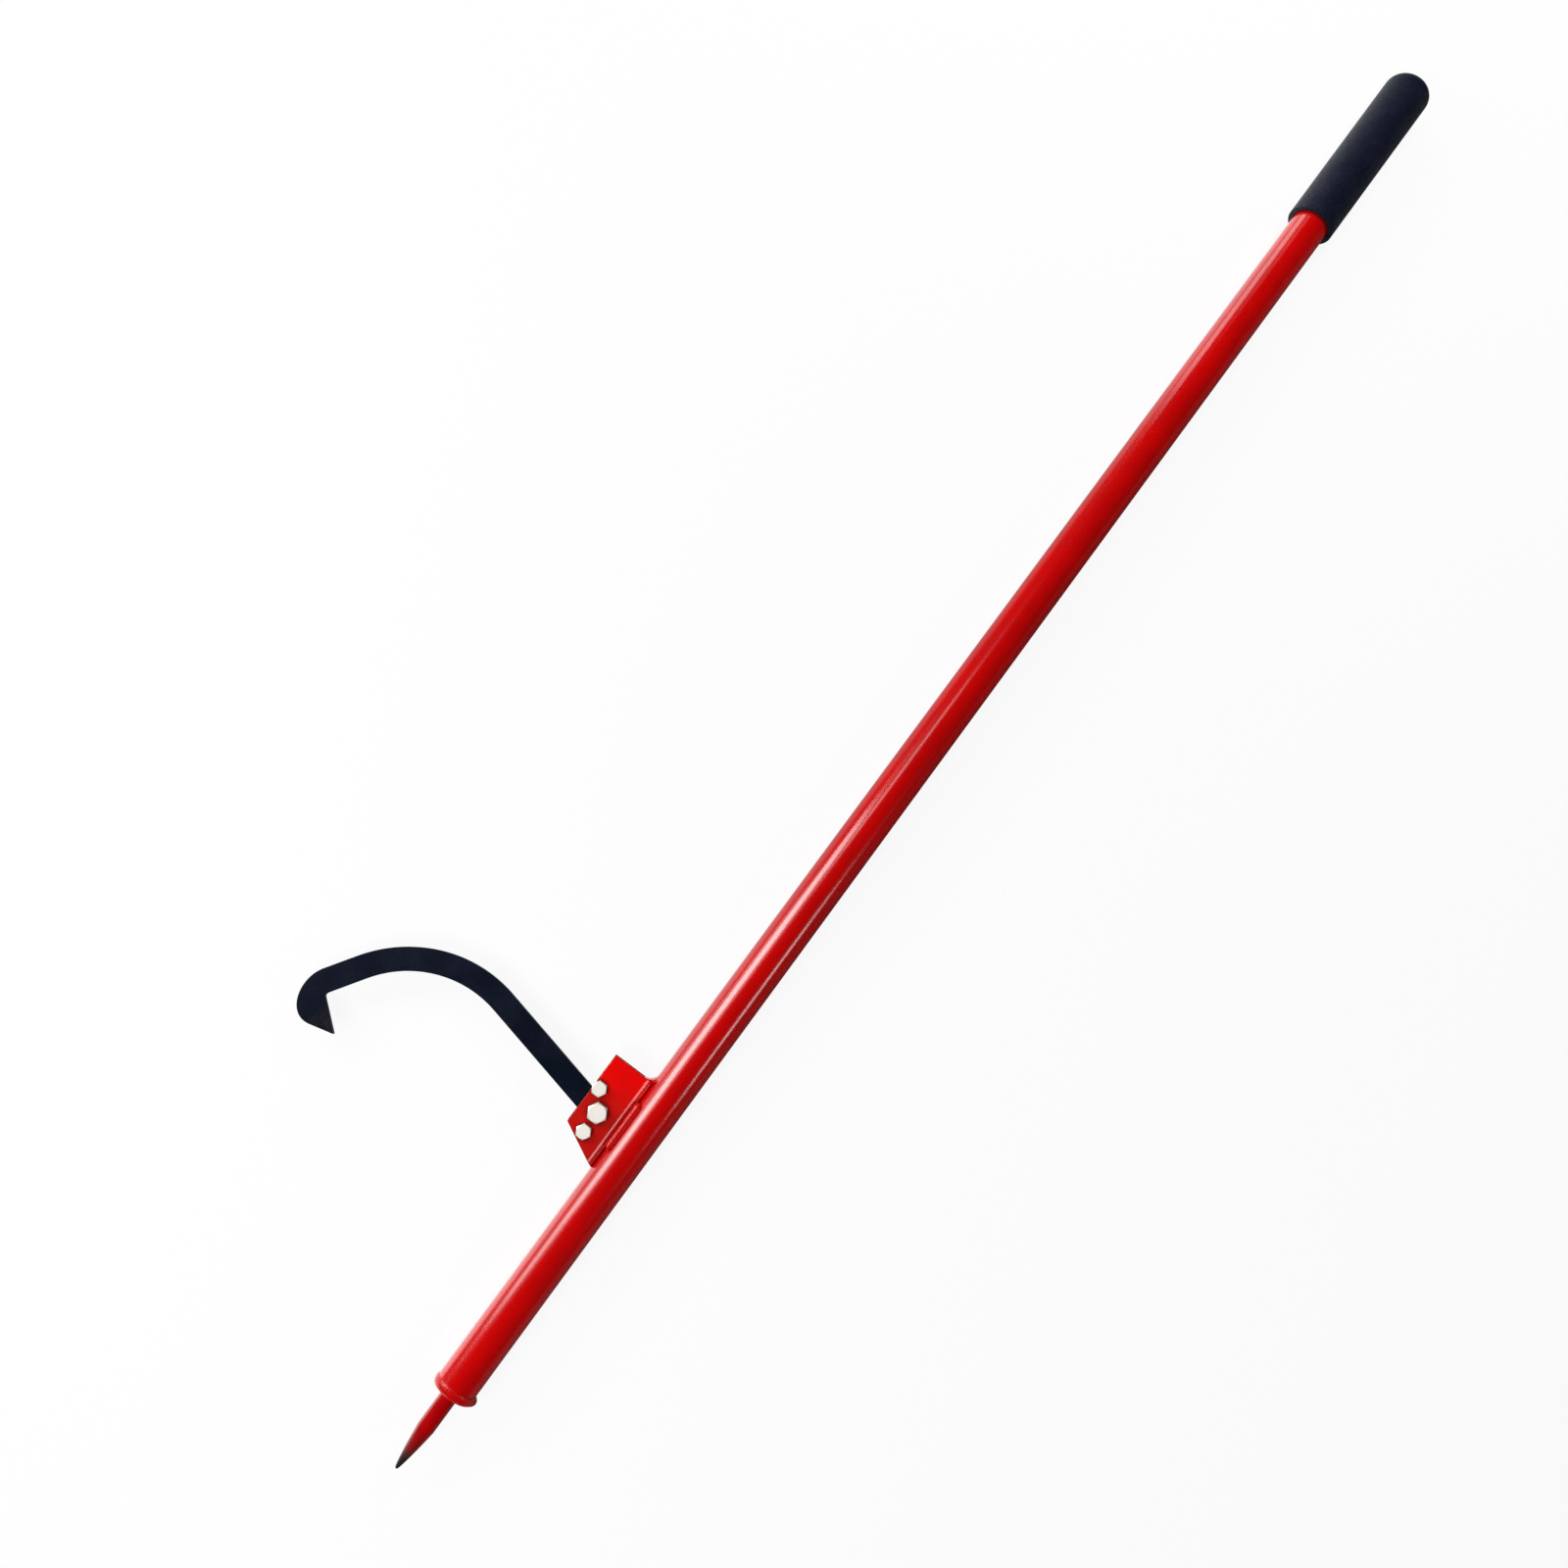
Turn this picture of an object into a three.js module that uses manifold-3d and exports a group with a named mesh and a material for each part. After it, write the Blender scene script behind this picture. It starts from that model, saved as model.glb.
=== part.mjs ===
// Log peavey: a steel tube handle with a welded-in spike at its foot, a foam grip at its head,
// and a swinging hook bolted between the cheeks of a channel bracket welded to the tube.
// Millimetres. X runs along the tool from the spike's point to the grip, Y points to the hook
// side, and Z is up, square to the plane in which the hook swings.
import * as THREE from 'three';
import { mergeVertices } from 'three/addons/utils/BufferGeometryUtils.js';
import Module from 'manifold-3d';

const wasm = await Module();
wasm.setup();

// Clearances
const SEAT_GAP = 0.3; // between two pieces that seat on each other
const STOP_GAP = 0.15; // between the hook's edge and the stop bolt that it rests on

// Handle tube, end cap and spike
const HANDLE_LENGTH = 1246; // face of the end cap to the end of the grip
const TUBE_OD = 30;
const TUBE_WALL = 2.5;
const CAP_FLANGE = 4;
const CAP_PLUG = 22;
const CAP_EDGE_ROUND = 1.2;
const SPIKE_DIAMETER = 12.7;
const SPIKE_REACH = 59; // point to the face of the end cap
const SPIKE_CONE = 32;
const SPIKE_CONE_FULLNESS = 0.75; // 1 is a straight cone, less swells it
const SPIKE_POINT_RADIUS = 0.8;
const SPIKE_ROOT = 34; // length held inside the end cap and tube

// Weld beads
const SPIKE_WELD_LEG = 2.6;
const CAP_WELD_RADIUS = 1.7;
const CAP_WELD_WIDTH = 6.4;
const CAP_WELD_SAG = 0.5; // how far the bead lies heavier on the side away from the hook
const SIDE_WELD_RADIUS = 3.2;
const SIDE_WELD_OUT = 1; // middle of the bead past the bracket's cheek
const SIDE_WELD_LIFT = 1.6; // middle of the bead above the tube
const SIDE_WELD_LENGTH = 38;
const SIDE_WELD_FROM_GRIP_END = 16;
const END_WELD_LEG = 5;
const END_WELD_INSET = 1.2; // short of the bracket's cheek on each side

// Grip
const GRIP_LENGTH = 156;
const GRIP_WALL = 3.8;
const GRIP_END_WALL = 5;
const GRIP_END_ROUND = 8.8;
const GRIP_RIM_ROUND = 1.4;

// Channel bracket, bent from plate
const PLATE = 4;
const BEND_INNER_RADIUS = 2;
const BRACKET_RIM = 1.2; // above the upper stop's hole
const BRACKET_NOSE = 4.3; // from the lower stop's hole to the slanted edge
const BRACKET_SLANT = 16; // how far the foot runs on towards the spike
const BRACKET_BEHIND_PIVOT = 38.5; // pivot to the square end

// Swing of the hook's shank between its two stop bolts
const REST_LEAN = THREE.MathUtils.degToRad(12); // towards the grip, on the upper stop
const HOOK_SWING = THREE.MathUtils.degToRad(54); // from there to the lower stop
const UPPER_STOP_REACH = 11.6; // along the shank, pivot to the stop
const LOWER_STOP_REACH = 10.4;

// Hook, cut from flat bar
const PIVOT_FROM_CAP = 205.5; // face of the end cap to the pivot
const HOOK_FOOT_CLEARANCE = 6.4; // between the hook's rounded foot and the bracket's web
const HOOK_THICKNESS = 6;
const HOOK_SIDE_GAP = 0.4; // each side, to the bracket's cheeks
const HOOK_WIDTH = 17;
const HOOK_EDGE_BREAK = 0.5;
const HOOK_SHANK = 101.5; // pivot to the start of the arch
const HOOK_ARCH_RADIUS = 88.5; // on the bar's centre line
const HOOK_ARCH_TURN = THREE.MathUtils.degToRad(69.4);
const HOOK_NECK = 29.4; // arch to the inner corner of the beak
const KNUCKLE_START = 24.3; // arch to where the back of the knuckle leaves the neck
const KNUCKLE_DEPTH = 33; // from the bar's outer edge down to the ground face
const KNUCKLE_OVERHANG = 16; // inner corner to the back of the beak
const KNUCKLE_PULL = 18; // handle length of the knuckle's curve
const BEAK_DROP = 28.6; // inner corner to the point
const BEAK_LEAN = THREE.MathUtils.degToRad(6);
const CORNER_ROUND = 2.5;

// Fasteners: thread size, hex across flats, head height, nut height
const PIVOT_FASTENER = { thread: 8, acrossFlats: 13, head: 5.3, nut: 8 };
const STOP_FASTENER = { thread: 6, acrossFlats: 10, head: 4, nut: 6 };
const BOLT_STICKOUT = 1.6; // past the nut
const BOLT_END_CHAMFER = 0.9;
const HEX_FACE_SHARE = 0.95; // turned face's diameter, of the width across flats
const COLLAR_HEIGHT_SHARE = 0.3; // of the nut's height
const COLLAR_SHARE = 0.92; // collar's diameter, of the width across flats
const COLLAR_CHAMFER = 0.3;
const RING_SHARE = 0.78; // nylon ring's diameter, of the width across flats

// Roundness of the facets, and how far a cutting shape runs past what it cuts
const TUBE_SIDES = 48;
const SMALL_SIDES = 32;
const ARC_STEPS = 8;
const CUT_OVERRUN = 1;

// Places that follow from the sizes above, along X from the spike's point
const capFace = SPIKE_REACH;
const tubeStart = capFace + CAP_FLANGE + SEAT_GAP;
const gripEnd = capFace + HANDLE_LENGTH;
const gripRim = gripEnd - GRIP_LENGTH;
const tubeEnd = gripEnd - GRIP_END_WALL - SEAT_GAP;
const tubeRadius = TUBE_OD / 2;
const boreRadius = tubeRadius - TUBE_WALL;
const spikeRadius = SPIKE_DIAMETER / 2;
const bracketFoot = tubeRadius + SEAT_GAP;
const webTop = bracketFoot + PLATE;
const pivotHeight = webTop + HOOK_FOOT_CLEARANCE + HOOK_WIDTH / 2;
const pivot = new THREE.Vector2(capFace + PIVOT_FROM_CAP, pivotHeight);
const restAngle = Math.PI / 2 - REST_LEAN;
const upperStop = stopPlace(restAngle, UPPER_STOP_REACH, -1);
const lowerStop = stopPlace(restAngle + HOOK_SWING, LOWER_STOP_REACH, 1);
const stopHoleRadius = STOP_FASTENER.thread / 2 + SEAT_GAP;
const bracketTop = upperStop.y + stopHoleRadius + BRACKET_RIM;
const bracketGripEnd = pivot.x + BRACKET_BEHIND_PIVOT;
const slantAboveStop = (BRACKET_SLANT * (bracketTop - lowerStop.y)) / (bracketTop - bracketFoot);
const bracketTopStart = lowerStop.x - stopHoleRadius - BRACKET_NOSE + slantAboveStop;
const bracketSpikeEnd = bracketTopStart - BRACKET_SLANT;
const cheekInside = HOOK_THICKNESS / 2 + HOOK_SIDE_GAP;
const cheekOutside = cheekInside + PLATE;
const bendOuterRadius = BEND_INNER_RADIUS + PLATE;

// Centre of the stop bolt that the shank's edge lies on when the shank stands at an angle;
// side is -1 for the shank's grip side and 1 for its spike side
function stopPlace(shankAngle, reach, side) {
  const edgeToBolt = HOOK_WIDTH / 2 + STOP_GAP + STOP_FASTENER.thread / 2;
  return new THREE.Vector2(reach, side * edgeToBolt)
    .rotateAround(new THREE.Vector2(), shankAngle)
    .add(pivot);
}

// Finishes
const redPaint = () => new THREE.MeshStandardMaterial({ color: 0xc00808, roughness: 0.25, metalness: 0.1 });
const blackPaint = () => new THREE.MeshStandardMaterial({ color: 0x14161f, roughness: 0.5, metalness: 0.2 });
const blackFoam = () => new THREE.MeshStandardMaterial({ color: 0x16181e, roughness: 0.9, metalness: 0 });
const zincPlate = () => new THREE.MeshStandardMaterial({ color: 0xe9e4dc, roughness: 0.35, metalness: 0.8 });
const nylon = () => new THREE.MeshStandardMaterial({ color: 0xdfe3ea, roughness: 0.6, metalness: 0 });

function toSolid(geometry) {
  const bare = geometry.clone();
  bare.deleteAttribute('normal');
  bare.deleteAttribute('uv');
  const merged = mergeVertices(bare, 1e-4);
  const corners = merged.getIndex().array;
  const kept = [];
  for (let i = 0; i < corners.length; i += 3) {
    const [a, b, c] = corners.slice(i, i + 3);
    if (a !== b && b !== c && c !== a) kept.push(a, b, c);
  }
  return new wasm.Manifold(new wasm.Mesh({
    numProp: 3,
    vertProperties: new Float32Array(merged.attributes.position.array),
    triVerts: Uint32Array.from(kept),
  }));
}

function toGeometry(solid) {
  const { vertProperties, triVerts } = solid.getMesh();
  const geometry = new THREE.BufferGeometry();
  geometry.setAttribute('position', new THREE.BufferAttribute(new Float32Array(vertProperties), 3));
  geometry.setIndex(new THREE.BufferAttribute(new Uint32Array(triVerts), 1));
  geometry.computeVertexNormals();
  return geometry;
}

function piece(name, geometry, material) {
  const mesh = new THREE.Mesh(geometry, material);
  mesh.name = name;
  return mesh;
}

// Points on a quarter or other part of a circle, from one angle to another, both in turns
function arcPoints(x, y, radius, fromTurn, toTurn) {
  const points = [];
  for (let i = 0; i <= ARC_STEPS; i++) {
    const angle = 2 * Math.PI * (fromTurn + ((toTurn - fromTurn) * i) / ARC_STEPS);
    points.push(new THREE.Vector2(x + radius * Math.cos(angle), y + radius * Math.sin(angle)));
  }
  return points;
}

// A profile of (radius, place along X), turned about the X axis
function turnedAboutX(profile, sides) {
  return new THREE.LatheGeometry(profile, sides).rotateZ(-Math.PI / 2);
}

// A profile of (radius, height), turned about the Z axis
function turnedAboutZ(profile, sides) {
  return new THREE.LatheGeometry(profile, sides).rotateX(Math.PI / 2);
}

// Space that the tube and its cap take, grown by a gap
function tubeSpace() {
  const radius = tubeRadius + SEAT_GAP;
  const cylinder = new THREE.CylinderGeometry(radius, radius, gripEnd, TUBE_SIDES);
  return toSolid(cylinder.rotateZ(-Math.PI / 2).translate(gripEnd / 2, 0, 0));
}

function handleTube() {
  const profile = [
    new THREE.Vector2(tubeRadius, tubeStart),
    new THREE.Vector2(tubeRadius, tubeEnd),
    new THREE.Vector2(boreRadius, tubeEnd),
    new THREE.Vector2(boreRadius, tubeStart),
    new THREE.Vector2(tubeRadius, tubeStart),
  ];
  return turnedAboutX(profile, TUBE_SIDES);
}

function endCap() {
  const plugRadius = boreRadius - SEAT_GAP;
  const holeRadius = spikeRadius + SEAT_GAP;
  const flangeBack = capFace + CAP_FLANGE;
  const rounded = arcPoints(tubeRadius - CAP_EDGE_ROUND, capFace + CAP_EDGE_ROUND, CAP_EDGE_ROUND, -0.25, 0);
  const profile = [
    new THREE.Vector2(holeRadius, capFace),
    ...rounded,
    new THREE.Vector2(tubeRadius, flangeBack),
    new THREE.Vector2(plugRadius, flangeBack),
    new THREE.Vector2(plugRadius, flangeBack + CAP_PLUG),
    new THREE.Vector2(holeRadius, flangeBack + CAP_PLUG),
    new THREE.Vector2(holeRadius, capFace),
  ];
  return turnedAboutX(profile, TUBE_SIDES);
}

function spike() {
  const profile = [new THREE.Vector2(0, 0)];
  const swell = spikeRadius - SPIKE_POINT_RADIUS;
  const steps = 2 * ARC_STEPS;
  for (let i = 0; i <= steps; i++) {
    const share = i / steps;
    const radius = SPIKE_POINT_RADIUS + swell * share ** SPIKE_CONE_FULLNESS;
    profile.push(new THREE.Vector2(radius, share * SPIKE_CONE));
  }
  profile.push(new THREE.Vector2(spikeRadius, capFace + SPIKE_ROOT));
  profile.push(new THREE.Vector2(0, capFace + SPIKE_ROOT));
  return turnedAboutX(profile, SMALL_SIDES);
}

// Hollow-faced fillet of weld metal round the spike, on the face of the end cap
function spikeWeld() {
  const inner = spikeRadius + SEAT_GAP;
  const base = capFace - SEAT_GAP;
  const hollow = arcPoints(inner + SPIKE_WELD_LEG, base - SPIKE_WELD_LEG, SPIKE_WELD_LEG, 0.5, 0.25);
  const profile = [...hollow, new THREE.Vector2(inner, base), hollow[0].clone()];
  return turnedAboutX(profile, SMALL_SIDES);
}

// Bead round the seam between tube and end cap, heavier on the side away from the hook
function capWeld() {
  const ring = new THREE.TorusGeometry(tubeRadius, CAP_WELD_RADIUS, 2 * ARC_STEPS, TUBE_SIDES);
  ring.rotateY(Math.PI / 2);
  ring.scale(CAP_WELD_WIDTH / (2 * CAP_WELD_RADIUS), 1, 1);
  ring.translate(capFace + CAP_FLANGE, -CAP_WELD_SAG, 0);
  return toGeometry(toSolid(ring).subtract(tubeSpace()));
}

// Closed sleeve, its rounded edges no larger than its walls allow
function foamGrip() {
  const inner = tubeRadius + SEAT_GAP;
  const outer = inner + GRIP_WALL;
  const seat = gripEnd - GRIP_END_WALL;
  const rim = Math.min(GRIP_RIM_ROUND, GRIP_WALL / 3);
  const end = Math.min(GRIP_END_ROUND, GRIP_WALL + GRIP_END_WALL);
  const profile = [
    ...arcPoints(inner + rim, gripRim + rim, rim, -0.5, -0.25),
    ...arcPoints(outer - rim, gripRim + rim, rim, -0.25, 0),
    ...arcPoints(outer - end, gripEnd - end, end, 0, 0.25),
    new THREE.Vector2(0, gripEnd),
    new THREE.Vector2(0, seat),
    new THREE.Vector2(inner, seat),
    new THREE.Vector2(inner, gripRim + rim),
  ];
  return turnedAboutX(profile, TUBE_SIDES);
}

// Section of the bracket's outside, from the web's bends up to its open top, grown by a gap
function channelOutside(gap) {
  const half = cheekOutside + gap;
  const radius = bendOuterRadius + gap;
  const foot = bracketFoot - gap;
  const section = new THREE.Shape();
  section.moveTo(half, bracketTop + gap);
  section.lineTo(-half, bracketTop + gap);
  section.absarc(-half + radius, foot + radius, radius, Math.PI, 1.5 * Math.PI, false);
  section.absarc(half - radius, foot + radius, radius, 1.5 * Math.PI, 2 * Math.PI, false);
  section.closePath();
  return section;
}

// Space between the cheeks, open at the top
function channelInside() {
  const radius = Math.min(BEND_INNER_RADIUS, cheekInside - SEAT_GAP);
  const section = new THREE.Shape();
  section.moveTo(cheekInside, bracketTop + CUT_OVERRUN);
  section.lineTo(-cheekInside, bracketTop + CUT_OVERRUN);
  section.absarc(-cheekInside + radius, webTop + radius, radius, Math.PI, 1.5 * Math.PI, false);
  section.absarc(cheekInside - radius, webTop + radius, radius, 1.5 * Math.PI, 2 * Math.PI, false);
  section.closePath();
  return section;
}

// A section in Y and Z, drawn out along X from one place to another
function alongX(section, from, to) {
  const options = { depth: to - from, bevelEnabled: false, curveSegments: ARC_STEPS };
  const bar = new THREE.ExtrudeGeometry(section, options);
  return toSolid(bar.rotateY(Math.PI / 2).translate(from, 0, 0));
}

// The cheek's outline seen from the side: square at the grip end, slanted at the spike end
function bracketOutline() {
  const outline = new THREE.Shape();
  outline.moveTo(bracketSpikeEnd, bracketFoot);
  outline.lineTo(bracketGripEnd, bracketFoot);
  outline.lineTo(bracketGripEnd, bracketTop);
  outline.lineTo(bracketTopStart, bracketTop);
  outline.closePath();
  const depth = 2 * cheekOutside;
  const block = new THREE.ExtrudeGeometry(outline, { depth, bevelEnabled: false });
  return toSolid(block.translate(0, 0, -cheekOutside));
}

function boltHole(place, fastener) {
  const radius = fastener.thread / 2 + SEAT_GAP;
  const length = 2 * (cheekOutside + CUT_OVERRUN);
  const hole = new THREE.CylinderGeometry(radius, radius, length, SMALL_SIDES);
  return toSolid(hole.rotateX(Math.PI / 2).translate(place.x, place.y, 0));
}

function hookBracket() {
  let bracket = alongX(channelOutside(0), bracketSpikeEnd, bracketGripEnd);
  const slot = alongX(channelInside(), bracketSpikeEnd - CUT_OVERRUN, bracketGripEnd + CUT_OVERRUN);
  bracket = bracket.subtract(slot);
  bracket = bracket.intersect(bracketOutline());
  bracket = bracket.subtract(boltHole(pivot, PIVOT_FASTENER));
  bracket = bracket.subtract(boltHole(upperStop, STOP_FASTENER));
  bracket = bracket.subtract(boltHole(lowerStop, STOP_FASTENER));
  return toGeometry(bracket);
}

// Stitch bead in the groove between the bracket's bend and the tube; side is +1 or -1 in Z
function bracketSideWeld(side) {
  const across = cheekOutside + SIDE_WELD_OUT;
  const height = Math.sqrt(tubeRadius ** 2 - across ** 2) + SIDE_WELD_LIFT;
  const middle = bracketGripEnd - SIDE_WELD_FROM_GRIP_END - SIDE_WELD_LENGTH / 2;
  const straight = SIDE_WELD_LENGTH - 2 * SIDE_WELD_RADIUS;
  const bead = new THREE.CapsuleGeometry(SIDE_WELD_RADIUS, straight, ARC_STEPS, 2 * ARC_STEPS);
  const solid = toSolid(bead.rotateZ(Math.PI / 2).translate(middle, height, side * across));
  const bracketSpace = alongX(channelOutside(SEAT_GAP), bracketSpikeEnd, bracketGripEnd);
  return toGeometry(solid.subtract(tubeSpace()).subtract(bracketSpace));
}

// Hollow-faced fillet across the bracket's square end, down to the tube
function bracketEndWeld() {
  const start = bracketGripEnd + SEAT_GAP;
  const toe = start + END_WELD_LEG;
  const crest = tubeRadius + END_WELD_LEG;
  const outline = new THREE.Shape();
  outline.moveTo(start, 0);
  outline.lineTo(toe, 0);
  outline.absarc(toe, crest, END_WELD_LEG, 1.5 * Math.PI, Math.PI, true);
  outline.closePath();
  const half = cheekOutside - END_WELD_INSET;
  const options = { depth: 2 * half, bevelEnabled: false, curveSegments: ARC_STEPS };
  const bar = new THREE.ExtrudeGeometry(outline, options);
  return toGeometry(toSolid(bar.translate(0, 0, -half)).subtract(tubeSpace()));
}

// The hook's outline with the pivot at the origin and the shank along Y, grip side to +X
function hookOutline() {
  const half = HOOK_WIDTH / 2;
  const archEnd = new THREE.Vector2(HOOK_ARCH_RADIUS, 0).rotateAround(new THREE.Vector2(), HOOK_ARCH_TURN);
  archEnd.add(new THREE.Vector2(-HOOK_ARCH_RADIUS, HOOK_SHANK));
  const onNeck = (along, inward) => new THREE.Vector2(-inward, along)
    .rotateAround(new THREE.Vector2(), HOOK_ARCH_TURN)
    .add(archEnd);
  const corner = onNeck(HOOK_NECK, half);
  const point = onNeck(HOOK_NECK + BEAK_DROP * Math.sin(BEAK_LEAN), half + BEAK_DROP * Math.cos(BEAK_LEAN));
  const knuckleStart = onNeck(KNUCKLE_START, -half);
  const knuckleEnd = onNeck(HOOK_NECK + KNUCKLE_OVERHANG, KNUCKLE_DEPTH - half);
  const groundFace = knuckleEnd.clone().sub(point).normalize();
  const firstHandle = onNeck(KNUCKLE_START + KNUCKLE_PULL, -half);
  const secondHandle = knuckleEnd.clone().addScaledVector(groundFace, KNUCKLE_PULL);
  const beforeCorner = corner.clone().lerp(point, CORNER_ROUND / BEAK_DROP);
  const afterCorner = onNeck(HOOK_NECK - CORNER_ROUND, half);

  const outline = new THREE.Shape();
  outline.moveTo(half, 0);
  outline.absarc(-HOOK_ARCH_RADIUS, HOOK_SHANK, HOOK_ARCH_RADIUS + half, 0, HOOK_ARCH_TURN, false);
  outline.lineTo(knuckleStart.x, knuckleStart.y);
  outline.bezierCurveTo(
    firstHandle.x, firstHandle.y,
    secondHandle.x, secondHandle.y,
    knuckleEnd.x, knuckleEnd.y,
  );
  outline.lineTo(point.x, point.y);
  outline.lineTo(beforeCorner.x, beforeCorner.y);
  outline.quadraticCurveTo(corner.x, corner.y, afterCorner.x, afterCorner.y);
  outline.absarc(-HOOK_ARCH_RADIUS, HOOK_SHANK, HOOK_ARCH_RADIUS - half, HOOK_ARCH_TURN, 0, true);
  outline.absarc(0, 0, half, Math.PI, 2 * Math.PI, false);
  const hole = new THREE.Path();
  hole.absarc(0, 0, PIVOT_FASTENER.thread / 2 + SEAT_GAP, 0, 2 * Math.PI, true);
  outline.holes.push(hole);
  return outline;
}

function hook() {
  const flat = HOOK_THICKNESS - 2 * HOOK_EDGE_BREAK;
  const bar = new THREE.ExtrudeGeometry(hookOutline(), {
    depth: flat,
    bevelSegments: 1,
    bevelThickness: HOOK_EDGE_BREAK,
    bevelSize: HOOK_EDGE_BREAK,
    bevelOffset: -HOOK_EDGE_BREAK,
    curveSegments: 2 * ARC_STEPS,
  });
  return bar.translate(0, 0, -flat / 2);
}

// Six-sided block with the corners of one or both faces turned off, base at Z 0
function hexBlock(acrossFlats, height, chamferBothEnds) {
  const cornerRadius = acrossFlats / 2 / Math.cos(Math.PI / 6);
  const faceRadius = (HEX_FACE_SHARE * acrossFlats) / 2;
  const drop = (cornerRadius - faceRadius) * Math.tan(Math.PI / 6);
  const hex = new THREE.CylinderGeometry(cornerRadius, cornerRadius, height, 6).rotateX(Math.PI / 2);
  const bottomRadius = chamferBothEnds ? faceRadius : cornerRadius;
  const bottomDrop = chamferBothEnds ? drop : 0;
  const profile = [
    new THREE.Vector2(0, 0),
    new THREE.Vector2(bottomRadius, 0),
    new THREE.Vector2(cornerRadius, bottomDrop),
    new THREE.Vector2(cornerRadius, height - drop),
    new THREE.Vector2(faceRadius, height),
    new THREE.Vector2(0, height),
  ];
  const turned = toSolid(turnedAboutZ(profile, SMALL_SIDES));
  return toSolid(hex.translate(0, 0, height / 2)).intersect(turned);
}

// Head on the bracket's upper cheek, shank through both cheeks and the nut, end chamfered
function bolt(fastener) {
  const headBase = cheekOutside + SEAT_GAP;
  const shankEnd = cheekOutside + 2 * SEAT_GAP + fastener.nut + BOLT_STICKOUT;
  const radius = fastener.thread / 2;
  const profile = [
    new THREE.Vector2(0, -shankEnd),
    new THREE.Vector2(radius - BOLT_END_CHAMFER, -shankEnd),
    new THREE.Vector2(radius, -shankEnd + BOLT_END_CHAMFER),
    new THREE.Vector2(radius, headBase + fastener.head / 2),
    new THREE.Vector2(0, headBase + fastener.head / 2),
  ];
  const shank = toSolid(turnedAboutZ(profile, SMALL_SIDES));
  const head = hexBlock(fastener.acrossFlats, fastener.head, false).translate([0, 0, headBase]);
  return toGeometry(head.add(shank));
}

// Sizes shared by a lock nut and the nylon ring held in its collar
function lockNutSizes(fastener) {
  return {
    hexHeight: (1 - COLLAR_HEIGHT_SHARE) * fastener.nut,
    collarRadius: (COLLAR_SHARE * fastener.acrossFlats) / 2,
    ringRadius: (RING_SHARE * fastener.acrossFlats) / 2,
    threadRadius: fastener.thread / 2 + SEAT_GAP,
  };
}

// Hex nut with a round collar, seen from below the bracket: base at Z 0, collar downwards
function lockNut(fastener) {
  const size = lockNutSizes(fastener);
  const hex = hexBlock(fastener.acrossFlats, size.hexHeight, true);
  const collar = toSolid(turnedAboutZ([
    new THREE.Vector2(0, size.hexHeight / 2),
    new THREE.Vector2(size.collarRadius, size.hexHeight / 2),
    new THREE.Vector2(size.collarRadius, fastener.nut - COLLAR_CHAMFER),
    new THREE.Vector2(size.collarRadius - COLLAR_CHAMFER, fastener.nut),
    new THREE.Vector2(0, fastener.nut),
  ], SMALL_SIDES));
  const ringSeat = size.ringRadius + SEAT_GAP;
  const mouth = fastener.nut + CUT_OVERRUN;
  const bore = toSolid(turnedAboutZ([
    new THREE.Vector2(0, -CUT_OVERRUN),
    new THREE.Vector2(size.threadRadius, -CUT_OVERRUN),
    new THREE.Vector2(size.threadRadius, size.hexHeight),
    new THREE.Vector2(ringSeat, size.hexHeight),
    new THREE.Vector2(ringSeat, mouth),
    new THREE.Vector2(0, mouth),
  ], SMALL_SIDES));
  const nut = hex.add(collar).subtract(bore);
  return toGeometry(nut).rotateX(Math.PI).translate(0, 0, -cheekOutside - SEAT_GAP);
}

function nutInsert(fastener) {
  const size = lockNutSizes(fastener);
  const bottom = size.hexHeight + SEAT_GAP;
  const top = fastener.nut - SEAT_GAP;
  const profile = [
    new THREE.Vector2(size.ringRadius, bottom),
    new THREE.Vector2(size.ringRadius, top),
    new THREE.Vector2(size.threadRadius, top),
    new THREE.Vector2(size.threadRadius, bottom),
    new THREE.Vector2(size.ringRadius, bottom),
  ];
  const ring = turnedAboutZ(profile, SMALL_SIDES);
  return ring.rotateX(Math.PI).translate(0, 0, -cheekOutside - SEAT_GAP);
}

// Bolt, lock nut and nylon ring, set in the bracket at one place
function fastening(name, place, fastener) {
  const set = new THREE.Group();
  set.add(piece(`${name}_bolt`, bolt(fastener), zincPlate()));
  set.add(piece(`${name}_lock_nut`, lockNut(fastener), zincPlate()));
  set.add(piece(`${name}_nut_insert`, nutInsert(fastener), nylon()));
  set.position.set(place.x, place.y, 0);
  return set;
}

function swingingHook() {
  const swing = new THREE.Group();
  swing.add(piece('hook', hook(), blackPaint()));
  swing.position.set(pivot.x, pivot.y, 0);
  swing.rotation.z = -REST_LEAN;
  return swing;
}

const peavey = new THREE.Group();
peavey.add(piece('handle_tube', handleTube(), redPaint()));
peavey.add(piece('end_cap', endCap(), redPaint()));
peavey.add(piece('spike', spike(), redPaint()));
peavey.add(piece('spike_weld', spikeWeld(), redPaint()));
peavey.add(piece('cap_weld', capWeld(), redPaint()));
peavey.add(piece('foam_grip', foamGrip(), blackFoam()));
peavey.add(piece('hook_bracket', hookBracket(), redPaint()));
peavey.add(piece('bracket_weld_front', bracketSideWeld(1), redPaint()));
peavey.add(piece('bracket_weld_back', bracketSideWeld(-1), redPaint()));
peavey.add(piece('bracket_weld_end', bracketEndWeld(), redPaint()));
peavey.add(swingingHook());
peavey.add(fastening('pivot', pivot, PIVOT_FASTENER));
peavey.add(fastening('upper_stop', upperStop, STOP_FASTENER));
peavey.add(fastening('lower_stop', lowerStop, STOP_FASTENER));

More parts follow.
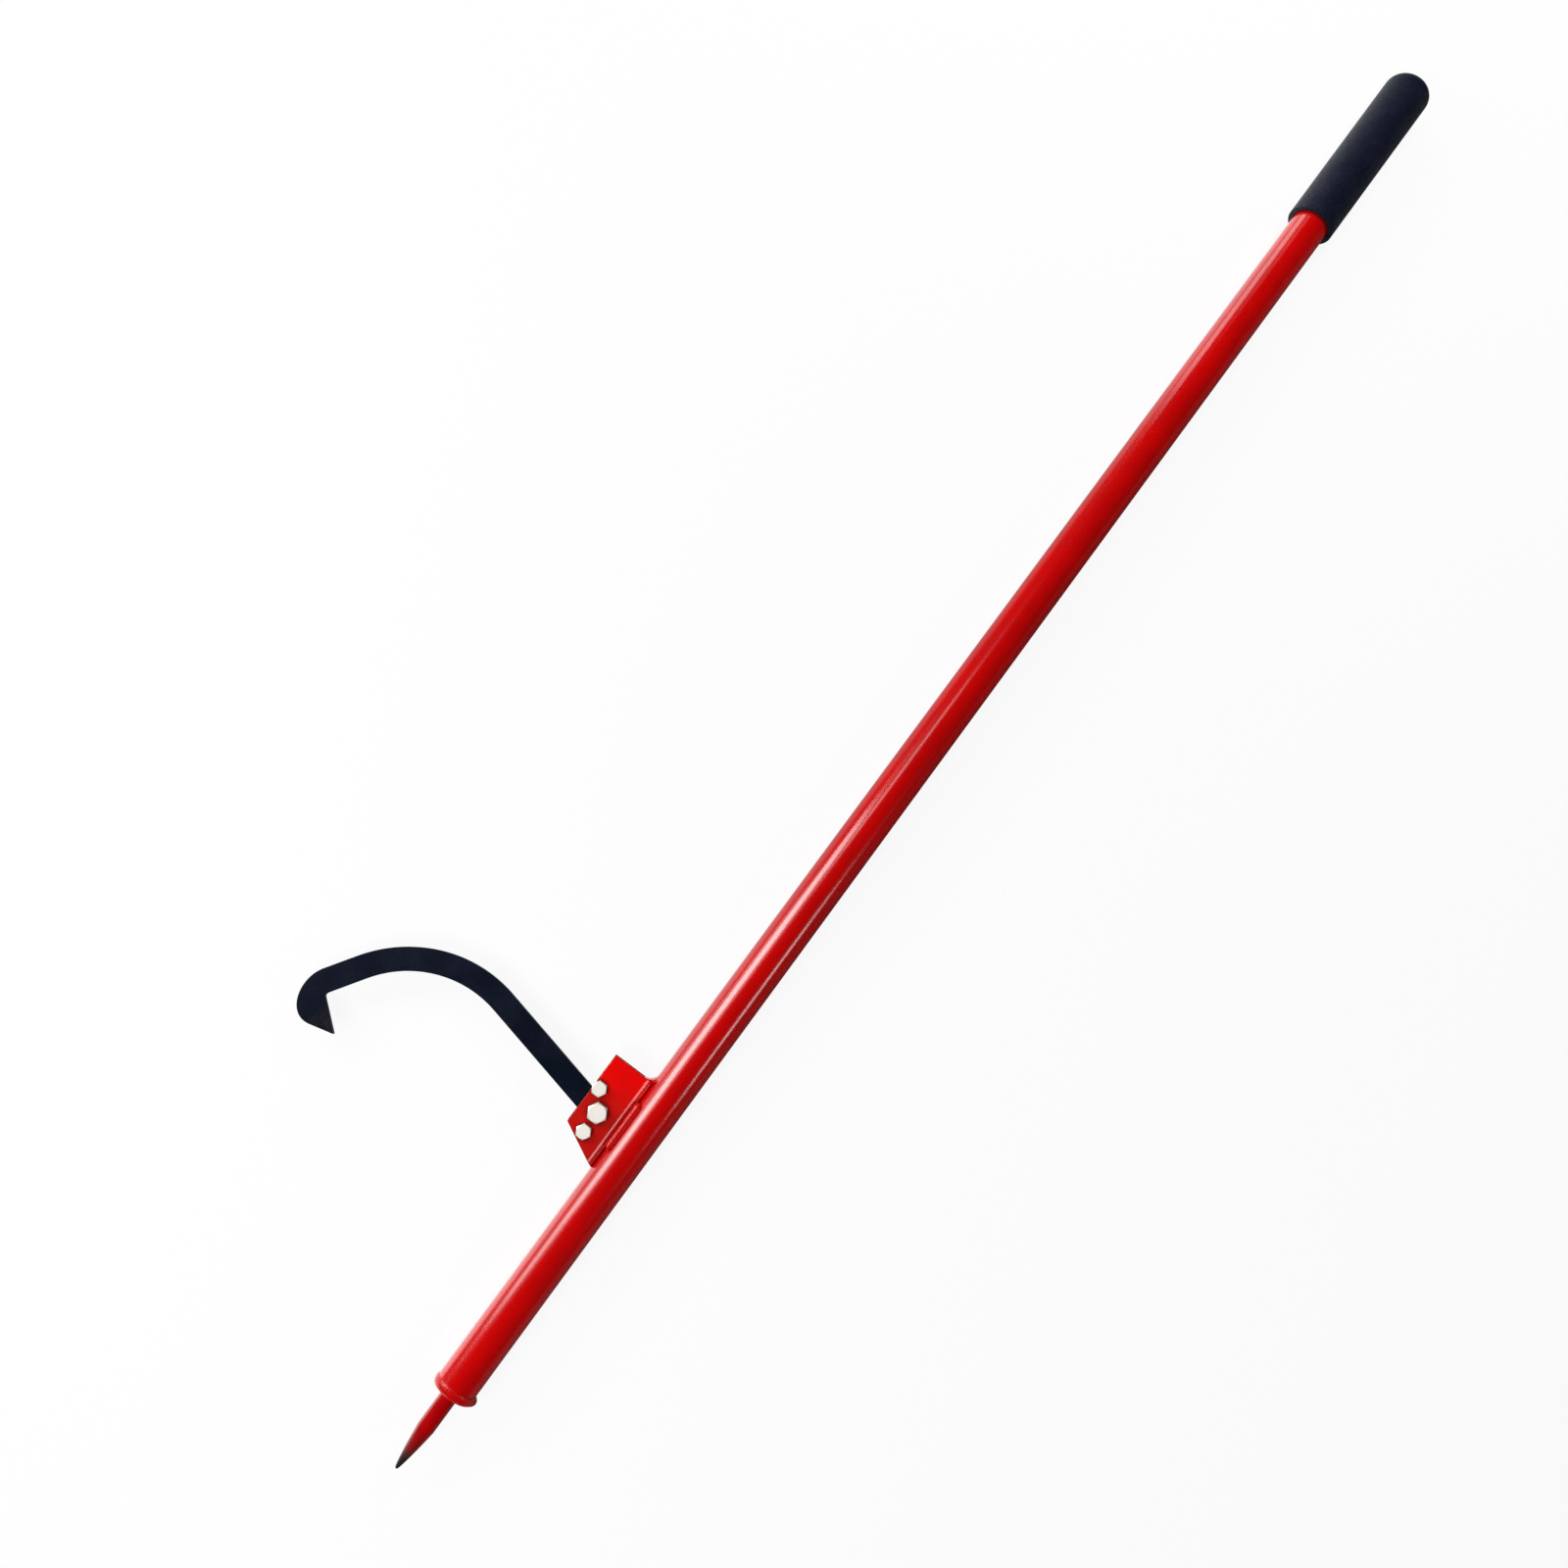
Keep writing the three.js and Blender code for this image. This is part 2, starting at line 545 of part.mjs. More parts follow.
// The tool lies on the ground, with the origin below the middle of the space that it takes
const space = new THREE.Box3().setFromObject(peavey, true);
const middle = space.getCenter(new THREE.Vector3());
peavey.position.set(-middle.x, -middle.y, -space.min.z);
peavey.updateMatrixWorld(true);

export default peavey;
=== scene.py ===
# %% [markdown]
# The peavey is a steel lever for rolling logs: a red tube handle with a spike at its foot, a foam
# grip at its head, and a black hook that swings in a bracket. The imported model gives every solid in
# its real place, in metres. This lesson dresses each solid in finer shapes and in painted, plated
# and foam finishes, and lights it as the photo does.

from math import atan2, cos, exp, pi, radians, sin, sqrt, tan

import bmesh
import bpy
from mathutils import Matrix, Vector
from mathutils.geometry import interpolate_bezier


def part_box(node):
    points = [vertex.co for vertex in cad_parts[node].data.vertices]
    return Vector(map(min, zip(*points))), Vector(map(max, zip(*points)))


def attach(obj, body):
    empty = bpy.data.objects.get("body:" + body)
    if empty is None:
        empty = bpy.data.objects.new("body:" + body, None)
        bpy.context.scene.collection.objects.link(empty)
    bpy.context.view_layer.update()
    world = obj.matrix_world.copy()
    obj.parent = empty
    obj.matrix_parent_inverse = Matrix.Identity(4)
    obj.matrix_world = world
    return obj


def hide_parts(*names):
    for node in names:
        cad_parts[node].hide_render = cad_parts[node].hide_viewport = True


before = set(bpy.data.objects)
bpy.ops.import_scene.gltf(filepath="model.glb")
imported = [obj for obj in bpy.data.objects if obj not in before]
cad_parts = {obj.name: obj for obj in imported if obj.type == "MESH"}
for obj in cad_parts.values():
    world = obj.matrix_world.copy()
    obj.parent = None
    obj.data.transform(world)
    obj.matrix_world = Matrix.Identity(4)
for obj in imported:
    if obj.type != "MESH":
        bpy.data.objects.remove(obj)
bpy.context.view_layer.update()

# %% [markdown]
# A maker measures this tool in millimetres along its handle, from the spike's point. So each piece
# is modelled in those terms, with X along the handle, Y towards the hook and Z along the bolts, and
# one matrix then carries it to where the tool lies. The matrix comes from the solids' own boxes, so
# the fine pieces can't drift away from them.

# %% Where the handle lies
MILLIMETRE = 0.001
tube_low, tube_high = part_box("handle_tube")
spike_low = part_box("spike")[0]
handle_foot = Vector((spike_low.x, (tube_low.y + tube_high.y) / 2, (tube_low.z + tube_high.z) / 2))
LAID_DOWN = Matrix.Translation(handle_foot) @ Matrix.Scale(MILLIMETRE, 4)


def along_handle(point):
    """A point of the lying tool, in millimetres from the spike's point."""
    return (point - handle_foot) / MILLIMETRE


def middle_of(node):
    low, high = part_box(node)
    return along_handle((low + high) / 2)


print("spike's point at", tuple(handle_foot))

# %% [markdown]
# The photo looks almost straight at the flat side of the hook, a metre away, with the spike nearer
# than the grip. The tube's edges close in on each other along the picture, and that gives the lens
# and the tilt. The camera is built from three facts: how the handle's three directions point in the
# picture, how far the spike's point is, and on which pixel it is seen.

# %% Camera
PICTURE_SIDE = 1600
FOCAL_PIXELS = 1400
SENSOR_WIDTH = 36
NEAREST_SEEN = 0.01
SPIKE_PIXEL = (403.8, 1498.4)
SPIKE_DEPTH = 0.9196
handle_in_view = Vector((0.5936305, 0.7890392, -0.1581771))


def add_object(name, data):
    """A new object in the scene."""
    added = bpy.data.objects.new(name, data)
    bpy.context.scene.collection.objects.link(added)
    return added


square_on = (Vector((0, 0, 1)) - handle_in_view * handle_in_view.z).normalized()
hook_side = square_on.cross(handle_in_view)
view_turn = Matrix((handle_in_view, hook_side, square_on))
half_picture = PICTURE_SIDE / 2
spike_in_view = Vector((
    (SPIKE_PIXEL[0] - half_picture) / FOCAL_PIXELS * SPIKE_DEPTH,
    (half_picture - SPIKE_PIXEL[1]) / FOCAL_PIXELS * SPIKE_DEPTH,
    -SPIKE_DEPTH,
))
camera_place = handle_foot - view_turn @ spike_in_view

camera_data = bpy.data.cameras.new("photo_camera")
camera_data.sensor_width = SENSOR_WIDTH
camera_data.lens = SENSOR_WIDTH * FOCAL_PIXELS / PICTURE_SIDE
camera_data.clip_start = NEAREST_SEEN
camera_data.dof.use_dof = False
camera = add_object("photo_camera", camera_data)
camera.matrix_world = Matrix.Translation(camera_place) @ view_turn.to_4x4()
bpy.context.scene.camera = camera
bpy.context.scene.view_settings.view_transform = "Standard"
print("camera at", tuple(round(v, 4) for v in camera_place))

# %% [markdown]
# Floor, room and finishes are all small trees of nodes. A few helpers keep them short. They draw a
# link, do a sum on two values, take one coordinate of a place or its distance to a point, and map a
# value smoothly from one range to another. Each new node goes into the tree of the value that it
# works on.

# %% Helpers for nodes
def link(out_socket, in_socket):
    in_socket.id_data.links.new(out_socket, in_socket)


def node_after(value, kind):
    """A new node in the tree that a value comes from."""
    return value.id_data.nodes.new(kind)


def sums(operation, first, second):
    """A Math node on a socket and a second value, which is a number or a socket."""
    node = node_after(first, "ShaderNodeMath")
    node.operation = operation
    link(first, node.inputs[0])
    if isinstance(second, (int, float)):
        node.inputs[1].default_value = second
    else:
        link(second, node.inputs[1])
    return node.outputs[0]


def plus(first, second):
    return sums("ADD", first, second)


def times(first, second):
    return sums("MULTIPLY", first, second)


def larger(first, second):
    return sums("MAXIMUM", first, second)


def coordinate(place, axis):
    """One of a place's three coordinates."""
    node = node_after(place, "ShaderNodeSeparateXYZ")
    link(place, node.inputs[0])
    return node.outputs[axis]


def distance_to(place, point):
    """How far a place is from a fixed point."""
    node = node_after(place, "ShaderNodeVectorMath")
    node.operation = "DISTANCE"
    node.inputs[1].default_value = point
    link(place, node.inputs[0])
    return node.outputs["Value"]


def ramp(value, limits, ends=(0.0, 1.0)):
    """A smooth step from the first end to the second, between two limits of a value."""
    node = node_after(value, "ShaderNodeMapRange")
    node.interpolation_type = "SMOOTHSTEP"
    for label, number in zip(("From Min", "From Max", "To Min", "To Max"), (*limits, *ends)):
        node.inputs[label].default_value = number
    link(value, node.inputs["Value"])
    return node.outputs[0]


print("helpers:", sums.__name__, coordinate.__name__, distance_to.__name__, ramp.__name__)

# %% [markdown]
# The photo is a cut-out on white. A plain floor carries the tool here. A share of what the camera
# sees of it is its own white, where a strength of 1 is white, and the rest is a plain diffuse floor
# that keeps the tool's soft shadow.
#
# The tube's two long edges mirror the floor beside it. In the photo the edge on the hook's side is
# pale, most of all near the spike and near the grip, and the other edge is nearly black, as beside
# a black card. So what reflections see of the floor is strong or weak by place.

# %% Floor
FLOOR_HALF = 12.0
FLOOR_GREY = 0.86
WHITE_FOR_CAMERA = 0.90
FAR_SHADE_BORDER = (handle_foot.y - 0.034, handle_foot.y + 0.030)
PAST_HOOK = (0.0, 0.12)
SPIKE_STRETCH = (-0.60, -0.05)
GRIP_STRETCH = (0.20, 0.50)
PAST_GRIP = (0.60, 0.85)
GLOW_BY_SPIKE = 1.7
GLOW_MIDWAY = 0.45
GLOW_BY_GRIP = 1.4
FAR_SIDE_PAINTED_SHADE = 0.04
LEFT_PAST_HOOK = 0.2
LEFT_PAST_GRIP = 0.1

floor_finish = bpy.data.materials.new("pale_floor")
floor_finish.use_nodes = True
tree = floor_finish.node_tree
tree.nodes.clear()
rays = tree.nodes.new("ShaderNodeLightPath").outputs
floor_place = tree.nodes.new("ShaderNodeTexCoord").outputs["Object"]
lengthwise = coordinate(floor_place, "X")
sideways = coordinate(floor_place, "Y")
# For reflections alone the floor is painted: near the spike and the grip on the hook's side it glows brighter
# than white, a painted reflection, and on the far side it is nearly dark, painted shade.
near_spike = ramp(lengthwise, SPIKE_STRETCH, (GLOW_BY_SPIKE, 0.0))
near_grip = ramp(lengthwise, GRIP_STRETCH, (GLOW_MIDWAY, GLOW_BY_GRIP))
near_grip = times(near_grip, ramp(lengthwise, PAST_GRIP, (1.0, LEFT_PAST_GRIP)))
beside = ramp(sideways, FAR_SHADE_BORDER, (FAR_SIDE_PAINTED_SHADE, 1.0))
not_far = ramp(sideways, PAST_HOOK, (1.0, LEFT_PAST_HOOK))
mirrored = times(times(plus(near_spike, near_grip), beside), not_far)

seen = larger(rays["Is Camera Ray"], rays["Is Transmission Ray"])
own_light = plus(seen, times(rays["Is Glossy Ray"], mirrored))
share = larger(times(seen, WHITE_FOR_CAMERA), rays["Is Glossy Ray"])
white_glow = tree.nodes.new("ShaderNodeEmission")
paper = tree.nodes.new("ShaderNodeBsdfDiffuse")
paper.inputs["Color"].default_value = (FLOOR_GREY, FLOOR_GREY, FLOOR_GREY, 1)
floor_mix = tree.nodes.new("ShaderNodeMixShader")
floor_out = tree.nodes.new("ShaderNodeOutputMaterial")
link(own_light, white_glow.inputs["Strength"])
link(share, floor_mix.inputs["Fac"])
link(paper.outputs[0], floor_mix.inputs[1])
link(white_glow.outputs[0], floor_mix.inputs[2])
link(floor_mix.outputs[0], floor_out.inputs["Surface"])

floor_bm = bmesh.new()
bmesh.ops.create_grid(floor_bm, x_segments=1, y_segments=1, size=FLOOR_HALF)
floor_mesh = bpy.data.meshes.new("floor")
floor_bm.to_mesh(floor_mesh)
floor_bm.free()
floor = add_object("floor", floor_mesh)
floor.data.materials.append(floor_finish)
print("floor is", 2 * FLOOR_HALF, "m across")

# %% [markdown]
# The red in the photo has no grey veil over it, so nothing bright stands overhead or around: the room
# that the paint mirrors is dark, a little less so near the horizon. What the camera itself sees of
# the room, past the floor's edge, is white like the floor.

# %% Room
ROOM_WALL = 0.055
ROOM_CEILING = 0.010
WALL_TOP = 0.30

room = bpy.data.worlds.new("room")
room.use_nodes = True
bpy.context.scene.world = room
tree = room.node_tree
tree.nodes.clear()
direction = tree.nodes.new("ShaderNodeTexCoord").outputs["Generated"]
mirrored_room = ramp(coordinate(direction, "Z"), (0.0, WALL_TOP), (ROOM_WALL, ROOM_CEILING))
from_camera = tree.nodes.new("ShaderNodeLightPath").outputs["Is Camera Ray"]
seen_room = times(from_camera, WHITE_FOR_CAMERA)
sky = tree.nodes.new("ShaderNodeBackground")
sky.inputs["Color"].default_value = (1, 1, 1, 1)
world_out = tree.nodes.new("ShaderNodeOutputWorld")
link(larger(seen_room, mirrored_room), sky.inputs["Strength"])
link(sky.outputs[0], world_out.inputs["Surface"])
print("room:", ROOM_WALL, "at the wall,", ROOM_CEILING, "overhead")

# %% [markdown]
# Each bright line on the tube is a lamp seen in it, as in a long round mirror. A line's place across
# the tube gives the angle at which its lamp stands, and its two ends give the lamp's length. Six
# soft panels come out of that: a long key on the hook's side, its end by the spike, which hangs a
# little lower, a smaller panel above the key towards the grip, a narrow one on the far side, and a
# large and a faint one past the grip. The key's line has soft borders, as a lamp behind cloth draws
# them. A wide, dim skirt round each of its two panels does that, and lights nothing else.
#
# Away from the lines, the red is brightest near both ends and dimmer in the middle, where the camera
# stood in the way. Three fills past the two ends do that. They light the paint but don't mirror in
# it, and that also means that only their own samples may light it, not a ray that happens to meet
# them.

# %% Lamps
def soft_panel(name, centre_x, angle, distance, length, width, radiance, mirrors=True, lights=True):
    """A panel that faces the handle from an angle round it, 0 overhead and 90 on the hook's side."""
    lean = radians(angle)
    aim = Vector((centre_x, handle_foot.y, handle_foot.z))
    facing = Vector((0, sin(lean), cos(lean)))
    along = Vector((1, 0, 0))
    turn = Matrix((along, facing.cross(along), facing)).transposed()
    lamp = bpy.data.lights.new(name, "AREA")
    lamp.shape = "RECTANGLE"
    lamp.size = length
    lamp.size_y = width
    lamp.energy = radiance * pi * length * width
    lamp.cycles.use_multiple_importance_sampling = mirrors
    panel = add_object(name, lamp)
    panel.matrix_world = Matrix.Translation(aim + facing * distance) @ turn.to_4x4()
    panel.visible_camera = False
    panel.visible_glossy = mirrors
    panel.visible_diffuse = lights
    print(name, round(lamp.energy, 1), "W")
    return panel


KEY_DISTANCE = 1.3
FILL_DISTANCE = 1.0
FILL_LENGTH = 0.5
FILL_WIDTH = 0.6


def key_skirt(name, centre_x, angle, length, width, radiance):
    """A wide panel round the key that shows in gloss and lights nothing else."""
    soft_panel(name, centre_x, angle, KEY_DISTANCE, length, width, radiance, lights=False)


def end_fill(name, centre_x, angle, radiance):
    """A panel past one end of the tool, which the paint doesn't mirror."""
    soft_panel(name, centre_x, angle, FILL_DISTANCE, FILL_LENGTH, FILL_WIDTH, radiance, mirrors=False)


soft_panel("key_panel", -0.266, angle=58, distance=KEY_DISTANCE, length=0.75, width=0.58, radiance=6.3)
soft_panel("key_end_panel", -0.75, angle=65, distance=KEY_DISTANCE, length=0.22, width=0.46, radiance=4.2)
key_skirt("skirt_of_key", -0.324, angle=60, length=0.60, width=1.32, radiance=1.6)
key_skirt("skirt_of_key_end", -0.75, angle=65, length=0.22, width=1.10, radiance=0.8)
soft_panel("upper_panel", 0.27, angle=35, distance=1.6, length=0.43, width=0.32, radiance=2.4)
soft_panel("far_side_panel", -0.226, angle=-53, distance=1.2, length=0.38, width=0.19, radiance=4.8)
soft_panel("grip_panel", 1.75, angle=76, distance=1.5, length=1.10, width=0.80, radiance=2.3)
soft_panel("grip_upper_panel", 1.68, angle=43, distance=1.5, length=0.50, width=0.45, radiance=0.5)
end_fill("spike_end_fill", -0.90, angle=12, radiance=8.0)
end_fill("grip_end_fill", 0.90, angle=4, radiance=8.4)
end_fill("grip_side_fill", 0.90, angle=70, radiance=4.4)

# %% [markdown]
# Small helpers come before the first piece. A piece is first made on a bench, in millimetres, where
# it can still be cut and joined. `dress` then carries it to where the tool lies, puts on a finish
# with shading that stops at real edges, hangs it on the empty of the body that carries it, and hides
# the solid that it stands for.

# %% Helpers for pieces
MERGE_DISTANCE = 1e-3
SHARP_ANGLE = 38


def points_of(made):
    """The points among the things that an operator made."""
    return [part for part in made if isinstance(part, bmesh.types.BMVert)]


def edges_of(made):
    """The edges among the things that an operator made."""
    return [part for part in made if isinstance(part, bmesh.types.BMEdge)]


def shift(bm, vec, points=None):
    """Moves some of a bmesh's points, or all of them."""
    bmesh.ops.translate(bm, verts=points or bm.verts, vec=vec)


def round_edges(bm, from_angle, radius, clamp=False):
    """Rounds every edge at which two faces turn by more than an angle."""
    sharp = [e for e in bm.edges if len(e.link_faces) == 2 and e.calc_face_angle() > radians(from_angle)]
    bmesh.ops.bevel(
        bm, geom=sharp, offset=radius, offset_type="OFFSET", affect="EDGES",
        segments=3, profile=0.5, material=-1, clamp_overlap=clamp,
    )


def cut_away(bm, place, outward):
    """Removes what lies outward of a plane, and leaves the cut open."""
    everything = bm.verts[:] + bm.edges[:] + bm.faces[:]
    bmesh.ops.bisect_plane(bm, geom=everything, plane_co=place, plane_no=outward, clear_outer=True)


def close_holes(bm, edges):
    """Puts a face in each open outline among the edges."""
    bmesh.ops.holes_fill(bm, edges=[e for e in edges if e.is_boundary], sides=0)


def on_bench(bm, name):
    """Makes a bmesh an object in millimetres, merged and facing outwards."""
    bmesh.ops.remove_doubles(bm, verts=bm.verts, dist=MERGE_DISTANCE)
    bmesh.ops.recalc_face_normals(bm, faces=bm.faces)
    mesh = bpy.data.meshes.new(name)
    bm.to_mesh(mesh)
    bm.free()
    return add_object(name, mesh)


def settle(piece, modifier):
    """Makes what the modifier does to the piece its own mesh, and removes the modifier."""
    scene_state = bpy.context.evaluated_depsgraph_get()
    shaped = bpy.data.meshes.new_from_object(
        piece.evaluated_get(scene_state), preserve_all_data_layers=True, depsgraph=scene_state,
    )
    piece.modifiers.remove(modifier)
    rough = piece.data
    piece.data = shaped
    bpy.data.meshes.remove(rough)


def carve(piece, tool, operation="DIFFERENCE"):
    """Cuts the tool's shape out of the piece, joins it on, or keeps what they share."""
    cut = piece.modifiers.new("cut", "BOOLEAN")
    cut.operation = operation
    cut.solver = "EXACT"
    cut.object = tool
    settle(piece, cut)
    bpy.data.objects.remove(tool)


def dress(piece, finish, node, body="handle", sharp=SHARP_ANGLE, flat_faces=False):
    """Lays the piece down in its finish. Large flat faces can set the shading of the rounds beside them."""
    piece.data.transform(LAID_DOWN)
    piece.data.materials.clear()
    piece.data.materials.append(finish)
    piece.data.shade_smooth()
    piece.data.set_sharp_from_angle(angle=radians(sharp))
    if flat_faces:
        weigh = piece.modifiers.new("weigh", "WEIGHTED_NORMAL")
        weigh.keep_sharp = True
        settle(piece, weigh)
    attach(piece, body)
    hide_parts(node)
    print(piece.name, "has", len(piece.data.polygons), "faces")


def arc(x, r, radius, start, end, steps=8):
    """Points on part of a circle in a turned profile, with angles in degrees from +X towards +R."""
    turns = [radians(start + (end - start) * i / steps) for i in range(steps + 1)]
    return [(x + radius * cos(a), r + radius * sin(a)) for a in turns]


def turned(profile, sides, axis="X"):
    """A profile of (place along the axis, radius), turned full circle about the X or the Z axis."""
    bm = bmesh.new()
    points = [bm.verts.new((x, 0, r) if axis == "X" else (r, 0, x)) for x, r in profile]
    for first, second in zip(points, points[1:]):
        bm.edges.new((first, second))
    bmesh.ops.spin(
        bm, geom=bm.verts[:] + bm.edges[:], cent=(0, 0, 0),
        axis=(1, 0, 0) if axis == "X" else (0, 0, 1),
        dvec=(0, 0, 0), angle=2 * pi, steps=sides, use_merge=True, use_duplicate=False,
    )
    bmesh.ops.remove_doubles(bm, verts=bm.verts, dist=MERGE_DISTANCE)
    bmesh.ops.recalc_face_normals(bm, faces=bm.faces)
    return bm


def turned_piece(name, profile, sides, axis="X"):
    """The same as an object on the bench."""
    return on_bench(turned(profile, sides, axis), name)


print("merge distance:", MERGE_DISTANCE, "mm, sharp from", SHARP_ANGLE, "degrees")

# %% [markdown]
# Paint, plate and foam all have a fine skin: a slow mottle, a fine relief and a few fine scuffs.
# Those are made once, as node groups with a size and an amount, and every finish below places them
# with its own values. They read the piece's own coordinates in metres, so a scale of 700 is about
# 1.4 mm.

# %% Node group helpers
NUMBER = "NodeSocketFloat"
PLACE = "NodeSocketVector"
COLOUR = "NodeSocketColor"
NOISE_MIDDLE = (0.3, 0.7)


def skin_group(name, inputs, outputs):
    """A node group that reads a position. Its other inputs and its outputs come by name and kind."""
    group = bpy.data.node_groups.new(name, "ShaderNodeTree")
    group.interface.new_socket("Position", in_out="INPUT", socket_type=PLACE)
    for label, kind in inputs.items():
        group.interface.new_socket(label, in_out="INPUT", socket_type=kind)
    for label, kind in outputs.items():
        group.interface.new_socket(label, in_out="OUTPUT", socket_type=kind)
    given = group.nodes.new("NodeGroupInput").outputs
    return group, given["Position"], given, group.nodes.new("NodeGroupOutput").inputs


def noise(place, scale, detail=3.0, rough=0.5):
    node = node_after(place, "ShaderNodeTexNoise")
    node.inputs["Detail"].default_value = detail
    node.inputs["Roughness"].default_value = rough
    link(place, node.inputs["Vector"])
    link(scale, node.inputs["Scale"])
    return node.outputs["Fac"]


def tint(factor, first, second):
    """A mix of two colours, each plain or made by a node. The Mix node's sockets 6 and 7 take them."""
    node = node_after(factor, "ShaderNodeMix")
    node.data_type = "RGBA"
    link(factor, node.inputs["Factor"])
    for socket, value in zip((node.inputs[6], node.inputs[7]), (first, second)):
        if isinstance(value, tuple):
            socket.default_value = (*value, 1)
        else:
            link(value, socket)
    return node.outputs[2]


def place_group(group, position, **values):
    """Places a group in the position's tree, with its numbers and colours, and gives its outputs."""
    node = node_after(position, "ShaderNodeGroup")
    node.node_tree = group
    link(position, node.inputs["Position"])
    for label, value in values.items():
        socket = node.inputs[label.capitalize()]
        socket.default_value = (*value, 1) if isinstance(value, tuple) else value
    return node.outputs


def roughen(rough, marks, amount):
    """A roughness that is larger where the scuffs are."""
    return plus(rough, times(marks["Mask"], amount))


def new_finish(name):
    """A material with its shader's sockets and the piece's own coordinates."""
    finish = bpy.data.materials.new(name)
    finish.use_nodes = True
    nodes = finish.node_tree.nodes
    return finish, nodes["Principled BSDF"].inputs, nodes.new("ShaderNodeTexCoord").outputs["Object"]


def cover(shader, colour, rough, height, tilt, depth, specular=0.5):
    """Gives the shader a colour, a roughness, a fixed specular level and a relief that tilts it."""
    link(colour, shader["Base Color"])
    link(rough, shader["Roughness"])
    shader["Specular IOR Level"].default_value = specular
    bump = node_after(height, "ShaderNodeBump")
    bump.inputs["Strength"].default_value = tilt
    bump.inputs["Distance"].default_value = depth
    link(height, bump.inputs["Height"])
    link(bump.outputs[0], shader["Normal"])


print("helpers:", skin_group.__name__, place_group.__name__, new_finish.__name__, cover.__name__)

# %% Fine relief, mottle and scuffs
MOTTLE_SHARE = 0.06
STREAK_STRETCH = (0.35, 3.0, 3.0)
STREAK_TURN = radians(9)
STREAK_LIMITS = (0.56, 0.72)
PATCH_LIMITS = (0.45, 0.65)

relief, place, given, made = skin_group(
    "fine_relief", {"Scale": NUMBER}, {"Height": NUMBER, "Mottle": NUMBER},
)
link(noise(place, given["Scale"], detail=2.0), made["Height"])
slow = times(given["Scale"], MOTTLE_SHARE)
link(noise(place, slow, detail=4.0, rough=0.6), made["Mottle"])

scuffs, place, given, made = skin_group(
    "fine_scuffs", {"Scale": NUMBER, "Amount": NUMBER}, {"Mask": NUMBER},
)
stretch = node_after(place, "ShaderNodeMapping")
stretch.inputs["Scale"].default_value = STREAK_STRETCH
stretch.inputs["Rotation"].default_value = (0, 0, STREAK_TURN)
link(place, stretch.inputs["Vector"])
streaks = noise(stretch.outputs[0], given["Scale"], detail=6.0, rough=0.65)
patches = noise(place, given["Scale"], detail=2.0)
both = times(ramp(streaks, STREAK_LIMITS), ramp(patches, PATCH_LIMITS))
link(times(both, given["Amount"]), made["Mask"])
print("groups:", relief.name, scuffs.name)

# %% [markdown]
# The handle, its foot and the bracket are sprayed in one glossy red. Real spray paint isn't a
# mirror: it dries with a faint orange peel, and its red drifts a little from place to place. The
# base colour carries the drift, the bump the peel, and a high specular level the shine. One node
# group makes that paint from two reds, and five finishes place it: as it is on the tube; on the
# bracket brighter, which is painted light, most of all at its square end, and darker towards its
# slant and round the bolt heads, which is painted shade; with brown specks on the welds; dark and
# dull on the plate's sawn edges, where the dark is painted shade; and worn on the spike.

# %% Red enamel
RED = (0.580, 0.0012, 0.0012)
RED_DEEP = (0.520, 0.0008, 0.0012)
RED_DULL = (0.420, 0.0060, 0.0050)
DRIFT_LIMITS = (0.35, 0.65)
ENAMEL_ROUGH = (0.20, 0.16)

sprayed, place, given, made = skin_group(
    "sprayed_enamel",
    {"Deep": COLOUR, "Red": COLOUR},
    {"Colour": COLOUR, "Roughness": NUMBER, "Height": NUMBER},
)
skin = place_group(relief, place, scale=520.0)
marks = place_group(scuffs, place, scale=70.0, amount=0.35)
colour = tint(ramp(skin["Mottle"], DRIFT_LIMITS), given["Deep"], given["Red"])
link(tint(marks["Mask"], colour, RED_DULL), made["Colour"])
rough = ramp(skin["Mottle"], NOISE_MIDDLE, ENAMEL_ROUGH)
link(roughen(rough, marks, amount=0.25), made["Roughness"])
link(skin["Height"], made["Height"])


def spray(position, deep, red):
    """Places the sprayed paint in a finish: its colour, roughness and height."""
    paint = place_group(sprayed, position, deep=deep, red=red)
    return paint["Colour"], paint["Roughness"], paint["Height"]


red_enamel, shader, position = new_finish("red_enamel")
cover(shader, *spray(position, RED_DEEP, RED), tilt=0.05, depth=0.0002, specular=1.0)
print("group:", sprayed.name, "finish:", red_enamel.name)

# %% Bracket and weld enamel
PAINTED_LIGHT_RED = (0.900, 0.0016, 0.0012)
PAINTED_LIGHT_RED_DEEP = (0.740, 0.0012, 0.0012)
PAINTED_SHADE_RED = (0.490, 0.0070, 0.0050)
BOLT_PAINTED_SHADE = (0.260, 0.0060, 0.0050)
WELD_BROWN = (0.150, 0.0200, 0.0120)
CUT_EDGE_PAINTED_SHADE_RED = (0.240, 0.0016, 0.0016)
CUT_EDGE_PAINTED_SHADE_DARK = (0.150, 0.0012, 0.0014)
CUT_EDGE_DULLNESS = 0.45
BOLT_SHADE_FROM = 0.95
BOLT_SHADE_TO = 1.4
BOLT_SHADE_SHARE = 0.85
PAINTED_SHADE_STRETCH = (0.034, 0.066)
BROWN_LIMITS = (0.52, 0.74)
BROWN_SHARE = 0.5
PILE_EDGE = handle_foot.y - 0.0150
PILE_FADE = 0.0018
PILE_SHARE = 0.8
WELD_DULLNESS = 0.12
BROWN_DULLNESS = 0.3
cheek_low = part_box("hook_bracket")[0]


